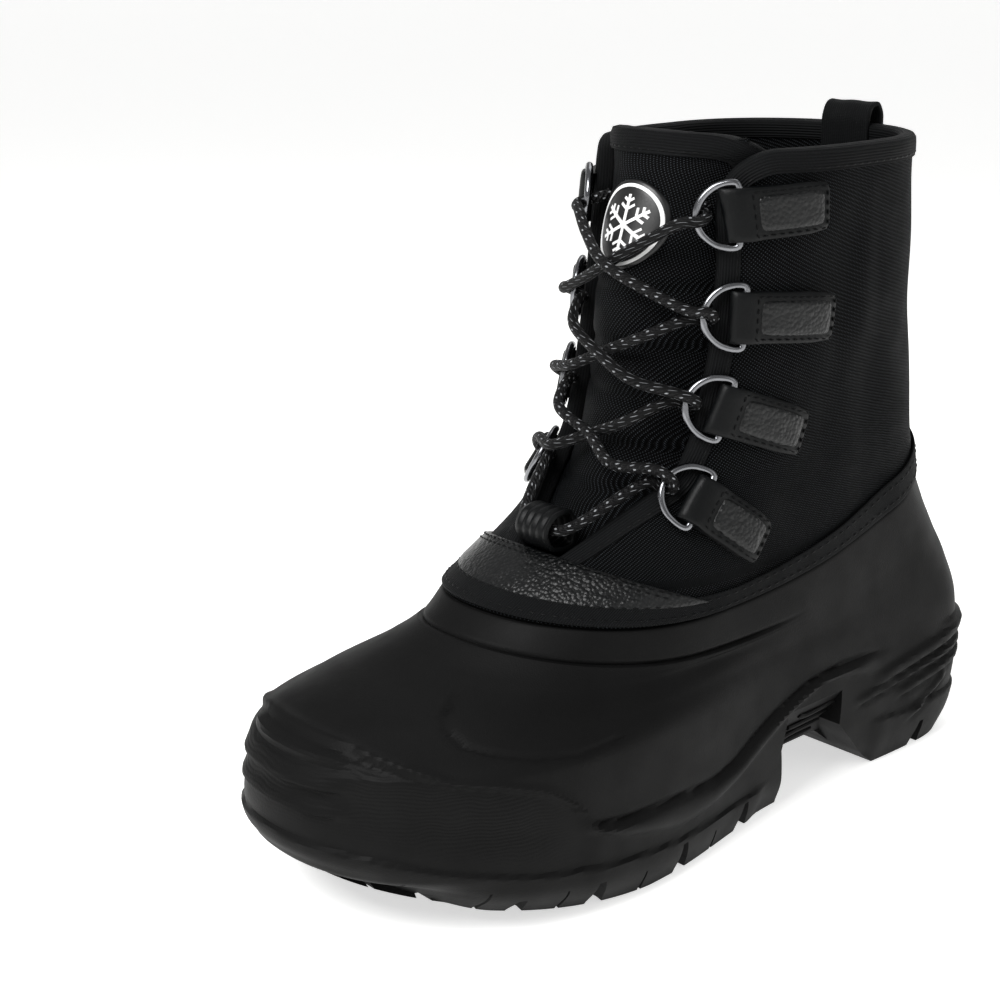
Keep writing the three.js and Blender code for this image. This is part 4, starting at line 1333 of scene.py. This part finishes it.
def strand(upper, lower, upper_side, above, bow):
    """Points over the tongue between an upper ring and the lower ring opposite."""
    ends = []
    for row, side in ((upper, upper_side), (lower, -upper_side)):
        middle, forward, _, _ = fold_frame(row, side)
        ends.append(middle + forward * (RING_REACH - BAR_SETBACK - 2.2))
    up = (ends[0][2] + ends[1][2]) / 2
    middle = place(0, tongue_front(up) + LACE_CLEAR + above, up)
    side_point = lambda end: end * 0.5 + middle * 0.5 + np.array([0, -bow, 0])
    return [side_point(ends[0]), middle, side_point(ends[1])]


def lace_route():
    """From behind the top inner ring, crossing down to the keeper, and up to the top outer ring."""
    top, second, third, low = ROWS
    over, under = 2 * CROSS_SPREAD, 0
    middle, forward, bar, out = fold_frame(top, -1)
    at = lambda f, o, b: middle + forward * f + out * o + bar * b
    route = [at(7.0, -8.0, 3.0), at(8.0, -5.4, 2.0)] + ring_pass(top, -1, -1)[::-1][2:]
    route += strand(top, second, -1, over, STRAND_BOWS[0])
    route += ring_pass(second, 1, 1)
    route += strand(second, third, 1, under, STRAND_BOWS[1])
    route += ring_pass(third, -1, 1)
    route += strand(third, low, -1, over, STRAND_BOWS[2])
    route += ring_pass(low, 1, 1)
    route += [place(10, KEEPER[0] + 2, KEEPER[1] + 4), place(0, KEEPER[0] + 3, KEEPER[1] + 3.5),
              place(-10, KEEPER[0] + 2, KEEPER[1] + 4)]
    route += ring_pass(low, -1, 1)[::-1]
    route += strand(third, low, 1, under, STRAND_BOWS[2])[::-1]
    route += ring_pass(third, 1, 1)[::-1]
    route += strand(second, third, -1, over, STRAND_BOWS[1])[::-1]
    route += ring_pass(second, -1, 1)[::-1]
    route += strand(top, second, 1, under, STRAND_BOWS[0])[::-1]
    middle, forward, bar, out = fold_frame(top, 1)
    route += ring_pass(top, 1, -1)[:-2] + [at(8.0, -5.4, 2.0), at(7.0, -8.0, 3.0)]
    return route


def build_lace():
    """The lace, one length through all rings and the keeper."""
    route = [np.asarray(p, float).reshape(3) for p in lace_route()]
    path = even_steps(smooth_curve(route, 10), 0.8)
    tube = swept(path, carried_normals(path), size("lace"), 14)
    tube = np.concatenate([path[:1, None] + (tube[:1] - path[:1, None]) * 0.02, tube,
                           path[-1:, None] + (tube[-1:] - path[-1:, None]) * 0.02])
    lace = laid_grid("lace_cord", tube, merge=0.01)
    outwards(lace)
    finished(lace, MATERIALS["lace"], slot="lace", angle=70,
             replaces=["lace_bar", "lace_crossing_1", "lace_crossing_2", "lace_crossing_3"])
    length = lengths_along(path, 0)[-1]
    points = even_steps(path, 1.6) * MM
    round(size("lace") * MM, 6)


def build_keeper():
    """The loop of synthetic leather that holds the lace at the foot of the throat."""
    along, up = KEEPER
    loop = [(along - 5.5, up - 3.5), (along + 4.5, up - 3.2), (along + 8.2, up + 3.2),
            (along + 5.0, up + 8.2), (along - 3.2, up + 8.8), (along - 6.0, up + 3.0)]
    path = smooth_curve([np.array([a, u, 0]) for a, u in loop], 8, closed=True)
    path = np.concatenate([path, path[:1]])
    offs = np.linspace(-7.5, 7.5, 21)
    wave_in = 0.25 * np.sin(offs * 1.9)
    flare = 1 + 0.006 * (path[:, 1:2] - up)
    points = place(offs[None] * flare, path[:, :1] + wave_in, path[:, 1:2] + wave_in)
    keeper = laid_grid("lace_keeper_loop", points, merge=0.01)
    modify(keeper, "SOLIDIFY", thickness=1.7 * MM, offset=0)
    modify(keeper, "BEVEL", width=0.35 * MM, segments=2, limit_method="ANGLE")
    outwards(keeper)
    finished(keeper, MATERIALS["hide"], slot="webbing", replaces=["lace_keeper"], angle=50)


def build_pull_loop():
    """The webbing loop at the back of the collar."""
    back, top = 33, 246.5
    line = [(-5.2, -31), (-3.6, -16), (-1.8, 0.5), (-1.4, 4.5), (1.2, 8.2), (4.6, 7.6), (6.8, 3.5),
            (7.0, -2), (6.6, -14.5)]
    path = smooth_curve([np.array([back + a, top + u, 0]) for a, u in line], 8)
    offs = np.linspace(-11, 11, 25)
    points = place(offs[None], path[:, :1] + 0 * offs[None], path[:, 1:2] + 0.15 * np.cos(offs * 0.5)[None])
    loop = laid_grid("pull_loop_webbing", points)
    modify(loop, "SOLIDIFY", thickness=1.7 * MM, offset=0)
    modify(loop, "BEVEL", width=0.4 * MM, segments=2, limit_method="ANGLE")
    outwards(loop)
    finished(loop, MATERIALS["tape"], slot="webbing", replaces=["pull_loop"], angle=50)


# ---------------------------------------------------------------- stage, lights and camera
CAMERA_TURN, CAMERA_RISE = 47.4, 17.25  # degrees round from the front, and up
CAMERA_AWAY = 652.05
CAMERA_TARGET = (-32.9, -35.7, 117.4)
CAMERA_LENS = 63.5


def direction(turn, rise):
    turn, rise = math.radians(turn), math.radians(rise)
    return Vector((math.sin(turn) * math.cos(rise), -math.cos(turn) * math.cos(rise), math.sin(rise)))


def build_camera():
    target = Vector(CAMERA_TARGET) * MM
    bpy.ops.object.camera_add(location=target + direction(CAMERA_TURN, CAMERA_RISE) * CAMERA_AWAY * MM)
    camera = bpy.context.object
    camera.name = "camera"
    camera.rotation_euler = direction(CAMERA_TURN, CAMERA_RISE).to_track_quat("Z", "Y").to_euler()
    camera.data.lens = CAMERA_LENS
    camera.data.sensor_width = 36
    camera.data.shift_x = -0.0026
    camera.data.shift_y = -0.0006
    camera.data.clip_start = 0.01
    camera.data.clip_end = 200
    bpy.context.scene.camera = camera


def area_light(name, turn, rise, away, size, watts):
    aim = Vector((0, 0, 0.11))
    bpy.ops.object.light_add(type="AREA", location=aim + direction(turn, rise) * away)
    light = bpy.context.object
    light.name = name
    light.rotation_euler = direction(turn, rise).to_track_quat("Z", "Y").to_euler()
    light.data.size = size
    light.data.energy = watts


def build_stage():
    """Pale floor, soft lights, white surroundings and the camera."""
    start_clean()
    build_camera()
    area_light("key", 5, 48, 1.1, 0.6, 15)
    area_light("side", 100, 30, 1.2, 0.8, 1.5)
    area_light("rim", 200, 50, 1.2, 0.9, 4)
    bpy.ops.mesh.primitive_plane_add(size=80)
    floor = bpy.context.object
    floor.name = "floor"
    paper = bpy.data.materials.new("Paper white")
    paper.use_nodes = True
    shader = paper.node_tree.nodes["Principled BSDF"]
    shader.inputs["Base Color"].default_value = linear("#f6f6f4")
    shader.inputs["Roughness"].default_value = 0.9
    shader.inputs["Emission Color"].default_value = (1, 1, 1, 1)
    shader.inputs["Emission Strength"].default_value = 0.6
    floor.data.materials.append(paper)
    bpy.ops.mesh.primitive_cylinder_add(vertices=96, radius=38, depth=10, end_fill_type="NOTHING")
    backdrop = bpy.context.object
    backdrop.name = "backdrop"
    backdrop.data.materials.append(paper)
    world = bpy.data.worlds.new("surroundings")
    world.use_nodes = True
    world.node_tree.nodes["Background"].inputs["Color"].default_value = (1, 1, 1, 1)
    world.node_tree.nodes["Background"].inputs["Strength"].default_value = 0.36
    bpy.context.scene.world = world
    bpy.context.scene.view_settings.view_transform = "Standard"


# ---------------------------------------------------------------- add-on
def length(name, description, default):
    return bpy.props.FloatProperty(name=name, description=description, default=default * MM, min=0,
                                   subtype="DISTANCE", unit="LENGTH", precision=4)


class BootSizes(bpy.types.PropertyGroup):
    """Sizes of the boot's trim."""
    lace: length("Lace", "Diameter of the lace", 4.0)
    wire: length("Ring wire", "Diameter of the D-rings' wire", 2.8)
    tape: length("Tape", "Height of the tape on the shell's rim", 12.0)
    thread: length("Thread", "From one raised thread of the coarse weave to the next", 1.5)


def colour(name, description, default):
    return bpy.props.FloatVectorProperty(name=name, description=description, subtype="COLOR", size=4,
                                         min=0, max=1, default=linear(default))


class BootColours(bpy.types.PropertyGroup):
    """Colours of the boot's materials."""
    foam: colour("Foam", "Moulded shell", "#070707")
    foam_light: colour("Foam, light", "Paler mottling of the shell", "#0d0d0d")
    nylon: colour("Nylon", "Cloth of shaft and tongue", "#010101")
    # Painted highlight: the colour of the light glints painted on the tops of the cloth's threads.
    nylon_painted_glint: colour("Nylon, light", "Tops of the cloth's threads", "#3a3e42")
    leather: colour("Leather", "Tabs and patch", "#020303")
    leather_light: colour("Leather, light", "Paler mottling of the leather", "#040506")
    tape: colour("Tape", "Binding and webbing", "#020202")
    # Painted highlight: the lighter colour painted on the tops of the tape's ribs.
    tape_painted_highlight: colour("Tape, light", "Tops of the tape's ribs", "#0d0e0f")
    pile: colour("Pile", "Lining and insole", "#181a1b")
    # Painted highlight: the lighter colour painted on the tips of the pile.
    pile_painted_highlight: colour("Pile, light", "Tips of the pile", "#303234")
    thread: colour("Thread", "Stitches", "#010101")
    thread_light: colour("Thread, light", "Twist of the thread", "#08090a")
    lace: colour("Lace", "Body of the lace", "#050506")
    lace_fleck: colour("Lace flecks", "Light flecks of the lace", "#85878a")
    nickel: colour("Nickel", "D-rings", "#6c6d70")
    nickel_light: colour("Nickel, light", "Bright parts of the rings", "#808184")
    badge: colour("Badge", "Badge's ground", "#030304")
    print_light: colour("Print", "Badge's ring and crystal", "#d9d9d9")


SKINS = {}


class PieceOperator:
    bl_options = {"REGISTER", "UNDO"}


class BOOT_OT_shell(PieceOperator, bpy.types.Operator):
    """Moulded shell with the lugged sole"""
    bl_idname = "boot.shell"
    bl_label = "Shell and sole"

    def execute(self, context):
        build_shell()
        return {"FINISHED"}


class BOOT_OT_insole(PieceOperator, bpy.types.Operator):
    """Footbed"""
    bl_idname = "boot.insole"
    bl_label = "Insole"

    def execute(self, context):
        build_insole()
        return {"FINISHED"}


class BOOT_OT_shaft(PieceOperator, bpy.types.Operator):
    """Nylon shaft, its lining and its binding"""
    bl_idname = "boot.shaft"
    bl_label = "Shaft"

    def execute(self, context):
        build_shaft()
        return {"FINISHED"}


class BOOT_OT_trim(PieceOperator, bpy.types.Operator):
    """Rim tape and vamp patch"""
    bl_idname = "boot.trim"
    bl_label = "Tape and patch"

    def execute(self, context):
        build_rim_tape()
        build_vamp_patch()
        return {"FINISHED"}


class BOOT_OT_tongue(PieceOperator, bpy.types.Operator):
    """Tongue with its badge"""
    bl_idname = "boot.tongue"
    bl_label = "Tongue and badge"

    def execute(self, context):
        build_tongue()
        build_badge()
        return {"FINISHED"}


class BOOT_OT_tabs(PieceOperator, bpy.types.Operator):
    """Ring tabs and D-rings"""
    bl_idname = "boot.tabs"
    bl_label = "Tabs and rings"

    def execute(self, context):
        build_tabs()
        build_rings()
        return {"FINISHED"}


class BOOT_OT_lace(PieceOperator, bpy.types.Operator):
    """Lace and its keeper"""
    bl_idname = "boot.lace"
    bl_label = "Lace and keeper"

    def execute(self, context):
        build_lace()
        build_keeper()
        return {"FINISHED"}


class BOOT_OT_pull_loop(PieceOperator, bpy.types.Operator):
    """Pull loop"""
    bl_idname = "boot.pull_loop"
    bl_label = "Pull loop"

    def execute(self, context):
        build_pull_loop()
        return {"FINISHED"}


class BOOT_OT_stage(PieceOperator, bpy.types.Operator):
    """Floor, backdrop, lights and camera"""
    bl_idname = "boot.stage"
    bl_label = "Stage"

    def execute(self, context):
        build_stage()
        return {"FINISHED"}


OPERATORS = (BOOT_OT_stage, BOOT_OT_lace, BOOT_OT_shell, BOOT_OT_insole, BOOT_OT_shaft, BOOT_OT_trim,
             BOOT_OT_tongue, BOOT_OT_tabs, BOOT_OT_pull_loop)


class BOOT_PT_panel(bpy.types.Panel):
    """The boot's colours and pieces"""
    bl_idname = "BOOT_PT_panel"
    bl_label = "Snow boot"
    bl_space_type = "VIEW_3D"
    bl_region_type = "UI"
    bl_category = "Snow boot"

    def draw(self, context):
        column = self.layout.column()
        for group in (context.scene.boot_sizes, context.scene.boot_colours):
            for name in type(group).__annotations__:
                column.prop(group, name)
        for operator in OPERATORS:
            column.operator(operator.bl_idname)


CLASSES = (BootSizes, BootColours, *OPERATORS, BOOT_PT_panel)


def register():
    for made in CLASSES:
        bpy.utils.register_class(made)
    bpy.types.Scene.boot_sizes = bpy.props.PointerProperty(type=BootSizes)
    bpy.types.Scene.boot_colours = bpy.props.PointerProperty(type=BootColours)


def unregister():
    del bpy.types.Scene.boot_sizes, bpy.types.Scene.boot_colours
    for made in reversed(CLASSES):
        bpy.utils.unregister_class(made)


def main():
    register()
    SKINS["shaft"] = shaft_skin()
    MATERIALS.update(make_materials())
    for operator in OPERATORS:
        group, name = operator.bl_idname.split(".")
        getattr(getattr(bpy.ops, group), name)()


if __name__ == "__main__":
    main()
